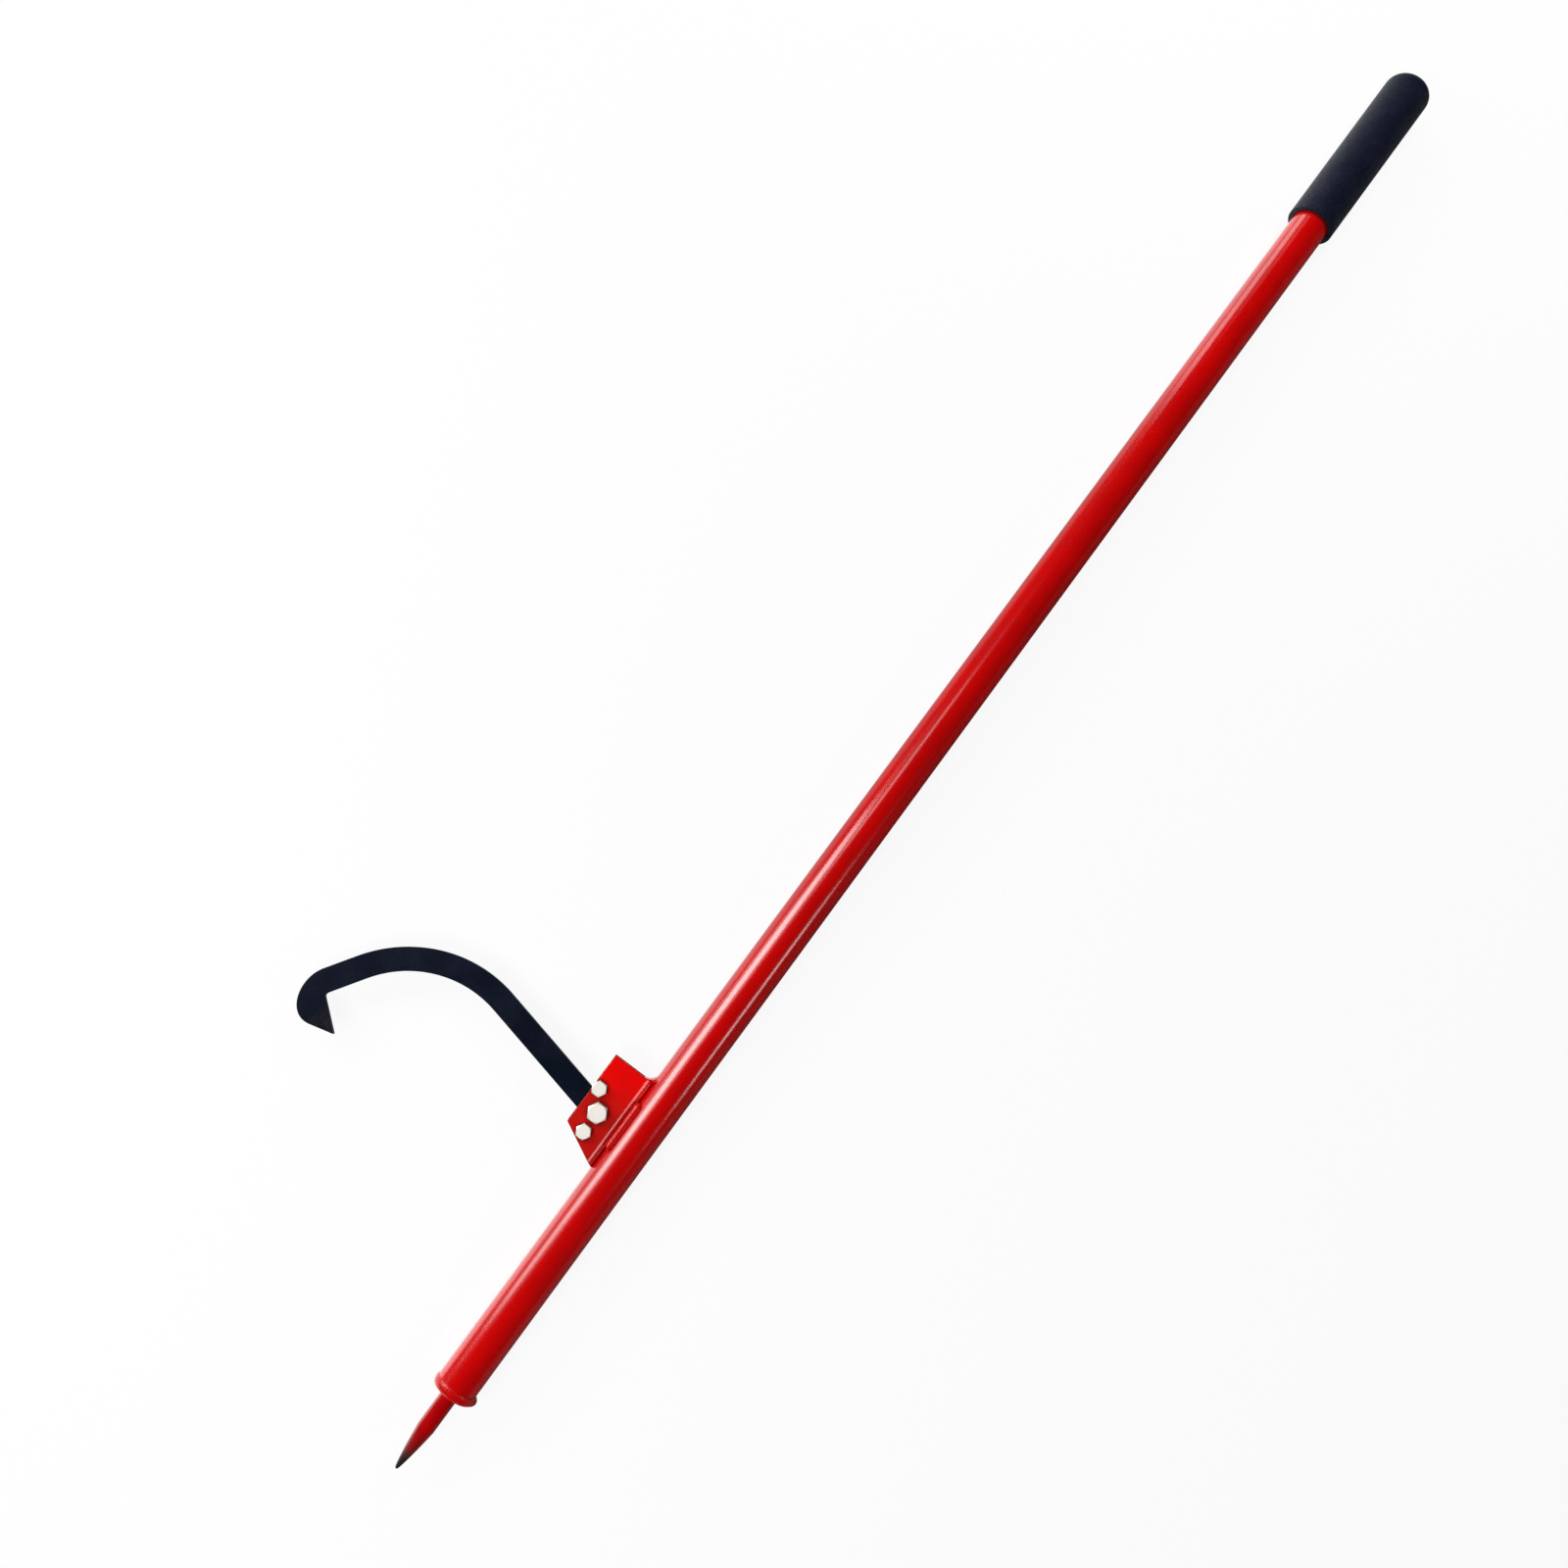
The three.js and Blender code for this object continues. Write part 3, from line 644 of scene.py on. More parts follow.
def painted_shade_round_bolts(position):
    """A mask of painted shade that is strongest beside each bolt's head and gone a few millimetres away."""
    flat = node_after(position, "ShaderNodeVectorMath")
    flat.operation = "MULTIPLY"
    flat.inputs[1].default_value = (1, 1, 0)
    link(position, flat.inputs[0])
    mask = 0.0
    for bolt in ("pivot_bolt", "upper_stop_bolt", "lower_stop_bolt"):
        low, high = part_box(bolt)
        head = (high.y - low.y) / 2
        away = distance_to(flat.outputs[0], ((low.x + high.x) / 2, (low.y + high.y) / 2, 0))
        ring = ramp(away, (BOLT_SHADE_FROM * head, BOLT_SHADE_TO * head), (BOLT_SHADE_SHARE, 0.0))
        mask = larger(ring, mask)
    return mask


bracket_painted_light_enamel, shader, position = new_finish("bracket_painted_light_enamel")
# Painted light and shade: a brighter red than the tube's, which fades to a darker one towards the slant.
colour, rough, height = spray(position, PAINTED_LIGHT_RED_DEEP, PAINTED_LIGHT_RED)
to_grip = sums("SUBTRACT", coordinate(position, "X"), cheek_low.x)
colour = tint(ramp(to_grip, PAINTED_SHADE_STRETCH, (1.0, 0.0)), colour, PAINTED_SHADE_RED)
# Painted shade round each bolt head.
colour = tint(painted_shade_round_bolts(position), colour, BOLT_PAINTED_SHADE)
cover(shader, colour, rough, height, tilt=0.05, depth=0.0002, specular=1.0)

weld_enamel, shader, position = new_finish("weld_enamel")
colour, rough, height = spray(position, RED_DEEP, RED)
specks = place_group(relief, position, scale=800.0)["Height"]
brown = ramp(specks, BROWN_LIMITS, (0.0, BROWN_SHARE))
sideways = coordinate(position, "Y")
brown = larger(brown, ramp(sideways, (PILE_EDGE - PILE_FADE, PILE_EDGE), (PILE_SHARE, 0.0)))
colour = tint(brown, colour, WELD_BROWN)
rough = plus(rough, plus(times(brown, BROWN_DULLNESS), WELD_DULLNESS))
cover(shader, colour, rough, specks, tilt=0.15, depth=0.0004)

cut_edge_painted_shade_enamel, shader, position = new_finish("cut_edge_painted_shade_enamel")
# The dark red of the sawn edges is painted shade; their dullness is a rougher surface.
colour, rough, height = spray(position, CUT_EDGE_PAINTED_SHADE_DARK, CUT_EDGE_PAINTED_SHADE_RED)
rough = plus(rough, CUT_EDGE_DULLNESS)
cover(shader, colour, rough, height, tilt=0.4, depth=0.0003, specular=0.12)
print("finishes:", bracket_painted_light_enamel.name, weld_enamel.name, cut_edge_painted_shade_enamel.name)

# %% [markdown]
# The spike is driven into logs, so its paint is gone at the point and scraped thin behind it. The
# bare steel there is dark and a little brown. The worn share is largest at the point, fades along
# the spike, and is broken up by noise, so its border is ragged.

# %% Spike finish
BARE_STEEL = (0.070, 0.050, 0.046)
SCRAPED_RED = (0.190, 0.0040, 0.0040)
RUBBED_RED = (0.360, 0.0010, 0.0020)
BARE_STRETCH = (0.011, 0.025)
BARE_METALLIC = 0.7
SCRAPED_STRETCH = (0.020, 0.046)
SCRAPED_SHARE = 0.85
SCRAPED_ROUGH = 0.5
BORDER_RAGS = 0.010

spike_enamel, shader, position = new_finish("spike_enamel")
colour, rough, height = spray(position, RUBBED_RED, RED_DEEP)
from_point = sums("SUBTRACT", coordinate(position, "X"), spike_low.x)
ragged = place_group(relief, position, scale=900.0)["Mottle"]
from_point = plus(from_point, times(ragged, BORDER_RAGS))
bare = ramp(from_point, BARE_STRETCH, (1.0, 0.0))
scraped = ramp(from_point, SCRAPED_STRETCH, (SCRAPED_SHARE, 0.0))
colour = tint(bare, tint(scraped, colour, SCRAPED_RED), BARE_STEEL)
rough = larger(rough, times(scraped, SCRAPED_ROUGH))
cover(shader, colour, rough, height, tilt=0.16, depth=0.0003)
link(times(bare, BARE_METALLIC), shader["Metallic"])
print("finish:", spike_enamel.name)

# %% [markdown]
# The hook is hot-rolled flat bar in satin black, a touch blue. The paint is rubbed brown at the
# beak, where it bites the bark. The mask for that is the distance to the beak's point.

# %% Black bar paint
BAR_BLACK = (0.0022, 0.0042, 0.0120)
BAR_GREY = (0.0048, 0.0070, 0.0165)
BEAK_BROWN = (0.0400, 0.0270, 0.0200)
BEAK_PLACE = (-0.4530, 0.0970, handle_foot.z)
BEAK_WEAR = (0.002, 0.024)
GREY_LIMITS = (0.4, 0.7)
WEAR_LIMITS = (0.3, 0.6)
BAR_ROUGH = (0.46, 0.58)

bar_paint, shader, position = new_finish("bar_paint")
skin = place_group(relief, position, scale=640.0)
marks = place_group(scuffs, position, scale=90.0, amount=0.5)
worn = ramp(distance_to(position, BEAK_PLACE), BEAK_WEAR, (1.0, 0.0))
worn = times(worn, ramp(skin["Mottle"], WEAR_LIMITS))
colour = tint(ramp(skin["Mottle"], GREY_LIMITS), BAR_BLACK, BAR_GREY)
colour = tint(worn, colour, BEAK_BROWN)
rough = roughen(ramp(skin["Mottle"], NOISE_MIDDLE, BAR_ROUGH), marks, amount=0.15)
cover(shader, colour, rough, skin["Height"], tilt=0.30, depth=0.0003, specular=0.14)
print("finish:", bar_paint.name)

# %% [markdown]
# The grip is a sleeve of closed-cell foam rubber. Its skin is matt and finely pitted, which is why
# it shows grey where the light grazes it. Pits come from a fine cell pattern under the relief.

# %% Foam
FOAM_BLACK = (0.0012, 0.0030, 0.0125)
FOAM_GREY = (0.0200, 0.0265, 0.0490)
FOAM_ROUGH = (0.66, 0.50)
CELL_SCALE = 1100.0
PIT_LIMITS = (0.1, 0.6)
SPECKLE_LIMITS = (0.42, 0.72)
SPECKLE_SHARE = (0.35, 1.0)

foam, shader, position = new_finish("foam_rubber")
skin = place_group(relief, position, scale=1500.0)
pits = node_after(position, "ShaderNodeTexVoronoi")
pits.inputs["Scale"].default_value = CELL_SCALE
link(position, pits.inputs["Vector"])
grain = times(ramp(pits.outputs["Distance"], PIT_LIMITS), skin["Height"])
speckle = ramp(skin["Height"], SPECKLE_LIMITS)
speckle = times(speckle, ramp(skin["Mottle"], NOISE_MIDDLE, SPECKLE_SHARE))
colour = tint(speckle, FOAM_BLACK, FOAM_GREY)
rough = ramp(grain, PIT_LIMITS, FOAM_ROUGH)
cover(shader, colour, rough, grain, tilt=0.8, depth=0.0005, specular=0.28)
shader["Sheen Weight"].default_value = 0.06
shader["Sheen Roughness"].default_value = 0.4
print("finish:", foam.name)

# %% [markdown]
# Bolts and nuts are zinc plated: nearly white, with a soft crystalline mottle and a faint warmth.
# Nylon rings in the lock nuts are pale and slightly waxy.

# %% Zinc plate and nylon
ZINC = (0.980, 0.945, 0.880)
ZINC_WARM = (0.960, 0.905, 0.800)
WARM_LIMITS = (0.35, 0.7)
ZINC_ROUGH = (0.33, 0.40)
NYLON = (0.720, 0.750, 0.800)
NYLON_SHADE = (0.600, 0.630, 0.690)
NYLON_ROUGH = (0.40, 0.55)

zinc, shader, position = new_finish("zinc_plate")
skin = place_group(relief, position, scale=2400.0)
marks = place_group(scuffs, position, scale=160.0, amount=0.6)
colour = tint(ramp(skin["Mottle"], WARM_LIMITS), ZINC, ZINC_WARM)
rough = roughen(ramp(skin["Height"], NOISE_MIDDLE, ZINC_ROUGH), marks, amount=0.2)
cover(shader, colour, rough, skin["Height"], tilt=0.07, depth=0.0001)
shader["Metallic"].default_value = 0.55

nylon, shader, position = new_finish("nylon_ring")
skin = place_group(relief, position, scale=900.0)
colour = tint(skin["Mottle"], NYLON_SHADE, NYLON)
rough = ramp(skin["Height"], NOISE_MIDDLE, NYLON_ROUGH)
cover(shader, colour, rough, skin["Height"], tilt=0.1, depth=0.0001)
print("finishes:", zinc.name, nylon.name)

# %% [markdown]
# The handle is a length of plain round steel tube. It could be a stretched cylinder, but a profile
# with the wall's thickness and a small break on its edges, turned about the handle's line, gives
# the open ends and the bore as well.

# %% Handle tube
TUBE_RADIUS = 15.0
BORE_RADIUS = 12.5
TUBE_BREAK = 0.4
FINE_SIDES = 128
tube_start = along_handle(tube_low).x
tube_end = along_handle(tube_high).x

dress(turned_piece("steel_tube", [
    (tube_start, BORE_RADIUS),
    (tube_start, TUBE_RADIUS - TUBE_BREAK),
    (tube_start + TUBE_BREAK, TUBE_RADIUS),
    (tube_end - TUBE_BREAK, TUBE_RADIUS),
    (tube_end, TUBE_RADIUS - TUBE_BREAK),
    (tube_end, BORE_RADIUS),
    (tube_start, BORE_RADIUS),
], FINE_SIDES), red_enamel, "handle_tube")

# %% [markdown]
# A turned cap closes the tube's foot. Its flange shows as the tube's end face, its plug sits inside
# the tube, and a hole through it holds the spike's root. The flange's outer edge is rounded.

# %% End cap
CAP_FACE = 59.0
CAP_FLANGE = 4.0
CAP_ROUND = 1.2
PLUG_RADIUS = 12.2
PLUG_END = 85.0
SPIKE_RADIUS = 6.35
FIT_GAP = 0.3

spike_hole = SPIKE_RADIUS + FIT_GAP
flange_back = CAP_FACE + CAP_FLANGE
cap_profile = [(CAP_FACE, spike_hole)]
cap_profile += arc(CAP_FACE + CAP_ROUND, TUBE_RADIUS - CAP_ROUND, CAP_ROUND, 180, 90)
cap_profile += [(flange_back, TUBE_RADIUS), (flange_back, PLUG_RADIUS), (PLUG_END, PLUG_RADIUS)]
cap_profile += [(PLUG_END, spike_hole), (CAP_FACE, spike_hole)]
dress(turned_piece("foot_cap", cap_profile, FINE_SIDES), red_enamel, "end_cap")

# %% [markdown]
# The spike is half-inch round bar ground to a full, slightly swollen cone. The cone's radius grows
# quickly behind the point and then more slowly, so a power below one of the distance gives its
# shape. The point itself is blunt, so it ends in a small dome.

# %% Spike
SPIKE_CONE = 32.0
SPIKE_FULLNESS = 0.75
SPIKE_SIDES = 96
POINT_RADIUS = 0.8
SPIKE_ROOT_END = 93.0
ROOT_BREAK = 1.0
CONE_STEPS = 28

swell = SPIKE_RADIUS - POINT_RADIUS
dome = arc(POINT_RADIUS, 0, POINT_RADIUS, 180, 100, 5)[1:]
cone = [
    (SPIKE_CONE * (i / CONE_STEPS), POINT_RADIUS + swell * (i / CONE_STEPS) ** SPIKE_FULLNESS)
    for i in range(1, CONE_STEPS + 1)
]
root = [(SPIKE_ROOT_END - ROOT_BREAK, SPIKE_RADIUS), (SPIKE_ROOT_END, SPIKE_RADIUS - ROOT_BREAK)]
spike_profile = [(0, 0)] + dome + cone + root + [(SPIKE_ROOT_END, 0)]
dress(turned_piece("ground_spike", spike_profile, SPIKE_SIDES), spike_enamel, "spike")

# %% [markdown]
# Two ring welds hold the foot together: one round the spike on the cap's face, and one over the seam
# between cap and tube. A weld bead is a row of overlapping puddles. Each ring is first turned as a
# smooth bead, and then its points are moved in and out along the ring, a little for every puddle,
# and more where the welder ended and the metal piled up.

# %% Ring welds
PUDDLE_LEAN = 0.25
FULL_RIPPLE = 1.0
WELD_SHARP = 60


def ripple_ring(bm, seam_radius, puddles, depth, pile_height, pile_at, pile_spread):
    """Moves a ring bead's points away from the seam's circle, more at each puddle and at the pile."""
    for vert in bm.verts:
        turn = atan2(vert.co.y, vert.co.z)
        outward = Vector((0, vert.co.y, vert.co.z))
        share = min(1.0, (outward.length - seam_radius) / FULL_RIPPLE)
        if share <= 0:
            continue
        puddle = abs(sin(turn * puddles / 2 + PUDDLE_LEAN * vert.co.x))
        off = (turn - radians(pile_at) + pi) % (2 * pi) - pi
        pile = pile_height * exp(-((off / pile_spread) ** 2))
        vert.co += outward.normalized() * (depth * (puddle - 0.5) + pile) * share


CAP_BEAD_HALF_WIDTH = 3.0
CAP_BEAD_HEIGHT = 1.0
CAP_BEAD_SAG = 0.5
CAP_BEAD_SIDES = 240

oval = [
    (flange_back + CAP_BEAD_HALF_WIDTH * x, TUBE_RADIUS + CAP_BEAD_HEIGHT * r)
    for x, r in arc(0, 0, 1, 0, 360, 24)
]
bead = turned(oval, CAP_BEAD_SIDES)
ripple_ring(bead, TUBE_RADIUS, puddles=44, depth=0.16, pile_height=1.3, pile_at=-84, pile_spread=0.22)
shift(bead, (0, -CAP_BEAD_SAG, 0))
dress(on_bench(bead, "foot_seam_weld"), weld_enamel, "cap_weld", sharp=WELD_SHARP)

SPIKE_BEAD_LEG = 2.6
SPIKE_BEAD_SIDES = 160
bead_base = CAP_FACE - FIT_GAP
bead_front = bead_base - SPIKE_BEAD_LEG
bead_back = bead_base + FIT_GAP
bead_top = spike_hole + SPIKE_BEAD_LEG
under_bead = SPIKE_RADIUS - FIT_GAP
hollow = arc(bead_front, bead_top, SPIKE_BEAD_LEG, 270, 360, 10)
hollow += [(bead_back, bead_top), (bead_back, under_bead), (bead_front, under_bead)]
bead = turned(hollow + hollow[:1], SPIKE_BEAD_SIDES)
ripple_ring(bead, spike_hole, puddles=26, depth=0.35, pile_height=0.4, pile_at=60, pile_spread=0.3)
dress(on_bench(bead, "spike_fillet_weld"), weld_enamel, "spike_weld", sharp=WELD_SHARP)

# %% [markdown]
# The foam grip is pushed over the tube's end. It is closed there, with a large soft round, and its
# open rim has two small rounds that the red tube shows under. The profile is turned like the tube.

# %% Foam grip
GRIP_RIM = 1149.0
GRIP_END = 1305.0
GRIP_RADIUS = 19.1
GRIP_BORE = 15.3
RIM_ROUND = 0.7
END_ROUND = 8.8
END_WALL = 5.0

rim = GRIP_RIM + RIM_ROUND
end_inside = GRIP_END - END_WALL
grip_profile = [(rim, GRIP_BORE)]
grip_profile += arc(rim, GRIP_BORE + RIM_ROUND, RIM_ROUND, 270, 180)
grip_profile += arc(rim, GRIP_RADIUS - RIM_ROUND, RIM_ROUND, 180, 90)
grip_profile += arc(GRIP_END - END_ROUND, GRIP_RADIUS - END_ROUND, END_ROUND, 90, 0, 16)
grip_profile += [(GRIP_END, 0), (end_inside, 0), (end_inside, GRIP_BORE), (rim, GRIP_BORE)]
dress(turned_piece("foam_sleeve", grip_profile, FINE_SIDES), foam, "foam_grip")

# %% [markdown]
# The bracket is one strip of 4 mm plate bent into a channel, so its edges at the foot are round
# outside and inside. It is drawn as the plate's U-shaped section, extruded along the handle, and cut
# off at a slant on the spike's side. All its long edges then get the small round that a press brake
# and paint leave, and the three bolt holes are drilled last. The sawn faces at its two ends and along
# the top of its cheeks take a dark, dull red, whose dark is painted shade.

# %% Hook bracket
PLATE = 4.0
CHEEK_INSIDE = 3.4
CHEEK_OUTSIDE = CHEEK_INSIDE + PLATE
BEND_INSIDE = 2.0
BEND_OUTSIDE = BEND_INSIDE + PLATE
BRACKET_FOOT = TUBE_RADIUS - 0.1
WEB_TOP = BRACKET_FOOT + PLATE
BRACKET_SLANT = 16.0
BRACKET_EDGE = 0.35
PIVOT_THREAD = 8.0
STOP_THREAD = 6.0
DRILL_DEPTH = 24.0
DRILL_SIDES = 64
SAWN_TILT = 0.35
SPECK = 0.01
bracket_low = along_handle(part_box("hook_bracket")[0])
bracket_high = along_handle(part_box("hook_bracket")[1])
pivot = middle_of("pivot_bolt")
upper_stop = middle_of("upper_stop_bolt")
lower_stop = middle_of("lower_stop_bolt")

outer_bend = CHEEK_OUTSIDE - BEND_OUTSIDE
inner_bend = CHEEK_INSIDE - BEND_INSIDE
section = [(CHEEK_OUTSIDE, bracket_high.y)]
section += arc(outer_bend, BRACKET_FOOT + BEND_OUTSIDE, BEND_OUTSIDE, 0, -90, 10)
section += arc(-outer_bend, BRACKET_FOOT + BEND_OUTSIDE, BEND_OUTSIDE, 270, 180, 10)
section += [(-CHEEK_OUTSIDE, bracket_high.y), (-CHEEK_INSIDE, bracket_high.y)]
section += arc(-inner_bend, WEB_TOP + BEND_INSIDE, BEND_INSIDE, 180, 270)
section += arc(inner_bend, WEB_TOP + BEND_INSIDE, BEND_INSIDE, -90, 0)
section += [(CHEEK_INSIDE, bracket_high.y)]

bm = bmesh.new()
end_face = bm.faces.new([bm.verts.new((bracket_low.x, y, z)) for z, y in section])
drawn = bmesh.ops.extrude_face_region(bm, geom=[end_face])
shift(bm, (bracket_high.x - bracket_low.x, 0, 0), points_of(drawn["geom"]))
slant_out = Vector((-(bracket_high.y - BRACKET_FOOT), BRACKET_SLANT, 0)).normalized()
cut_away(bm, (bracket_low.x, BRACKET_FOOT, 0), slant_out)
close_holes(bm, bm.edges)
bmesh.ops.recalc_face_normals(bm, faces=bm.faces)
round_edges(bm, from_angle=40, radius=BRACKET_EDGE)
bmesh.ops.dissolve_degenerate(bm, edges=bm.edges, dist=SPECK)
bracket = on_bench(bm, "channel_bracket")


def prism(sides, radius, height):
    """A block along Z about the bench's origin. With many sides it is a cylinder."""
    bm = bmesh.new()
    bmesh.ops.create_cone(bm, cap_ends=True, segments=sides, radius1=radius, radius2=radius, depth=height)
    return bm


def drill(piece, place, thread):
    """Drills the hole for a bolt at a place on the handle's plan."""
    bm = prism(DRILL_SIDES, thread / 2 + FIT_GAP, DRILL_DEPTH)
    shift(bm, (place.x, place.y, 0))
    carve(piece, on_bench(bm, "drill"))


for place, thread in ((pivot, PIVOT_THREAD), (upper_stop, STOP_THREAD), (lower_stop, STOP_THREAD)):
    drill(bracket, place, thread)
dress(bracket, bracket_painted_light_enamel, "hook_bracket", flat_faces=True)

# The sawn faces take the dark red of painted shade.
bracket.data.materials.append(cut_edge_painted_shade_enamel)
sawn_faces = [
    face for face in bracket.data.polygons
    if max(face.normal.x, face.normal.y, face.normal.dot(slant_out)) > SAWN_TILT
]
for face in sawn_faces:
    face.material_index = 1
print("sawn faces:", len(sawn_faces))

# %% [markdown]
# The bracket sits on the tube along its web, and three welds hold it: a stitch in the groove on each
# side, and a fillet across its square end. A stitch is a short bead with round ends, so it is a
# turned profile again, with a scallop for each puddle, and it is sheared so that the puddles lie
# slanted as the welder's hand moved.

# %% Stitch welds
STITCH_RADIUS = 2.9
STITCH_LENGTH = 38.0
STITCH_OUT = 0.9
STITCH_LIFT = 1.1
STITCH_FROM_END = 16.0
STITCH_STEPS = 90
STITCH_SIDES = 40
STITCH_SHARP = 75
PUDDLE = 2.7
PUDDLE_SLANT = 0.35
SCALLOP_LOW = 0.90
SCALLOP_RISE = 0.13
SCALLOP_REACH = 0.8


def round_rise(share):
    """The height of half a circle over its own radius, at a share of the radius from its middle."""
    return sqrt(max(0.0, 1 - share ** 2))


def stitch_profile():
    """The bead's radius along it: a round dome at each end, and a scallop for each puddle."""
    profile = [(0, 0)]
    for i in range(1, STITCH_STEPS):
        x = STITCH_LENGTH * i / STITCH_STEPS
        to_end = min(x, STITCH_LENGTH - x)
        dome = round_rise(1 - min(1.0, to_end / STITCH_RADIUS))
        puddle = (x / PUDDLE) % 1.0
        scallop = SCALLOP_LOW + SCALLOP_RISE * round_rise(SCALLOP_REACH * (2 * puddle - 1))
        profile.append((x, STITCH_RADIUS * dome * scallop))
    return profile + [(STITCH_LENGTH, 0)]


stitch_across = CHEEK_OUTSIDE + STITCH_OUT
stitch_height = sqrt(TUBE_RADIUS ** 2 - stitch_across ** 2) + STITCH_LIFT
stitch_start = bracket_high.x - STITCH_FROM_END - STITCH_LENGTH


def lay_stitch(side, name, node):
    """One stitch, with its puddles slanted, in the groove on the near side, 1, or the far side, -1."""
    bm = turned(stitch_profile(), STITCH_SIDES)
    slant = Matrix.Identity(4)
    slant[0][2] = -PUDDLE_SLANT * side
    bmesh.ops.transform(bm, matrix=slant, verts=bm.verts)
    shift(bm, (stitch_start, stitch_height, side * stitch_across))
    dress(on_bench(bm, name), weld_enamel, node, sharp=STITCH_SHARP)


lay_stitch(1, "near_stitch_weld", "bracket_weld_front")
lay_stitch(-1, "far_stitch_weld", "bracket_weld_back")

# %% [markdown]
# The end fillet is hollow: it sweeps from the plate's end face down to the tube, and it reads in the
# photo as a smooth curve. Its hollow section is extruded step by step across the plate, slightly
# larger and smaller at each puddle, and shrunk at both ends.

# %% End weld
FILLET_LEG = 7.4
FILLET_HALF = CHEEK_OUTSIDE - 0.2
FILLET_STEPS = 36
FILLET_BITE = 0.4
FILLET_RIPPLE = 0.05
FILLET_END_SIZE = 0.55
FILLET_FULL_SIZE = 0.97
FILLET_END_SHARE = 0.16
UNDERSIDE = 0.2

hollow = [(0, 0), (FILLET_LEG + FILLET_BITE, 0)]
hollow += arc(FILLET_BITE + FIT_GAP + FILLET_LEG, FILLET_LEG, FILLET_LEG, 270, 180, 12)
hollow += [(0, FILLET_LEG)]


def fillet_size(z):
    """How large the section is at a place across the plate."""
    ripple = FILLET_RIPPLE * abs(sin(pi * z / PUDDLE))
    to_end = max(0.0, 1 - abs(z) / FILLET_HALF)
    growth = sqrt(min(1.0, to_end / FILLET_END_SHARE))
    return FILLET_END_SIZE + (FILLET_FULL_SIZE - FILLET_END_SIZE + ripple) * growth


bm = bmesh.new()
outline = [bm.verts.new((x, y, 0)) for x, y in hollow]
edges = [bm.edges.new(pair) for pair in zip(outline, outline[1:] + outline[:1])]
size = 1.0
for i in range(FILLET_STEPS + 1):
    z = FILLET_HALF * (2 * i / FILLET_STEPS - 1)
    if i > 0:
        edges = edges_of(bmesh.ops.extrude_edge_only(bm, edges=edges)["geom"])
    for vert in {v for e in edges for v in e.verts}:
        vert.co *= fillet_size(z) / size
        vert.co.z = z
    size = fillet_size(z)
close_holes(bm, bm.edges)
for vert in bm.verts:
    drop = TUBE_RADIUS - sqrt(TUBE_RADIUS ** 2 - vert.co.z ** 2)
    vert.co.y -= drop if vert.co.y < UNDERSIDE else drop * max(0.0, 1 - vert.co.y / FILLET_LEG)
shift(bm, (bracket_high.x - FILLET_BITE, BRACKET_FOOT, 0))
end_weld = on_bench(bm, "end_fillet_weld")
dress(end_weld, red_enamel, "bracket_weld_end", sharp=WELD_SHARP)

# %% [markdown]
# The hook is flat bar, bent cold over a round former and ground to a beak. It starts flat, as the
# maker's plan: the bar's width is an edge of two points, drawn along for the shank and spun about
# the former's centre for the arch. The foot is half a circle and the knuckle one smooth curve. The
# plan is then extruded to the bar's thickness, its edges rounded, and its bolt hole drilled.

# %% Hook
BAR_HALF = 8.5
BAR_THICK = 6.0
SHANK = 101.5
ARCH_RADIUS = 88.5
ARCH_TURN = radians(69.4)
ARCH_STEPS = 32
NECK = 29.4
KNUCKLE_START = 24.3
KNUCKLE_DEPTH = 33.0
KNUCKLE_OVERHANG = 16.0
KNUCKLE_PULL = 18.0
KNUCKLE_TUCK = 0.1
KNUCKLE_POINTS = 33
BEAK_DROP = 28.6
BEAK_LEAN = radians(6)
CORNER_ROUND = 2.5
CORNER_POINTS = 7
BAR_EDGE = 0.7
REST_LEAN = radians(12)

arch_middle = Vector((-ARCH_RADIUS, SHANK, 0))
arch_spin = Matrix.Rotation(ARCH_TURN, 3, "Z")
arch_end = arch_middle + arch_spin @ Vector((ARCH_RADIUS, 0, 0))


def on_neck(along, inward):
    """A place on the straight neck past the arch, inward from its middle line."""
    return arch_end + arch_spin @ Vector((-inward, along, 0))


beak_corner = on_neck(NECK, BAR_HALF)
beak_point = on_neck(NECK + BEAK_DROP * sin(BEAK_LEAN), BAR_HALF + BEAK_DROP * cos(BEAK_LEAN))
knuckle_start = on_neck(KNUCKLE_START, -BAR_HALF)
knuckle_end = on_neck(NECK + KNUCKLE_OVERHANG, KNUCKLE_DEPTH - BAR_HALF)
ground_face = (knuckle_end - beak_point).normalized()
knuckle = interpolate_bezier(
    knuckle_start, on_neck(KNUCKLE_START + KNUCKLE_PULL, KNUCKLE_TUCK - BAR_HALF),
    knuckle_end + ground_face * KNUCKLE_PULL, knuckle_end, KNUCKLE_POINTS,
)
before_corner = beak_corner.lerp(beak_point, CORNER_ROUND / BEAK_DROP)
after_corner = on_neck(NECK - CORNER_ROUND, BAR_HALF)
soft_corner = interpolate_bezier(
    before_corner, before_corner.lerp(beak_corner, 2 / 3),
    after_corner.lerp(beak_corner, 2 / 3), after_corner, CORNER_POINTS,
)

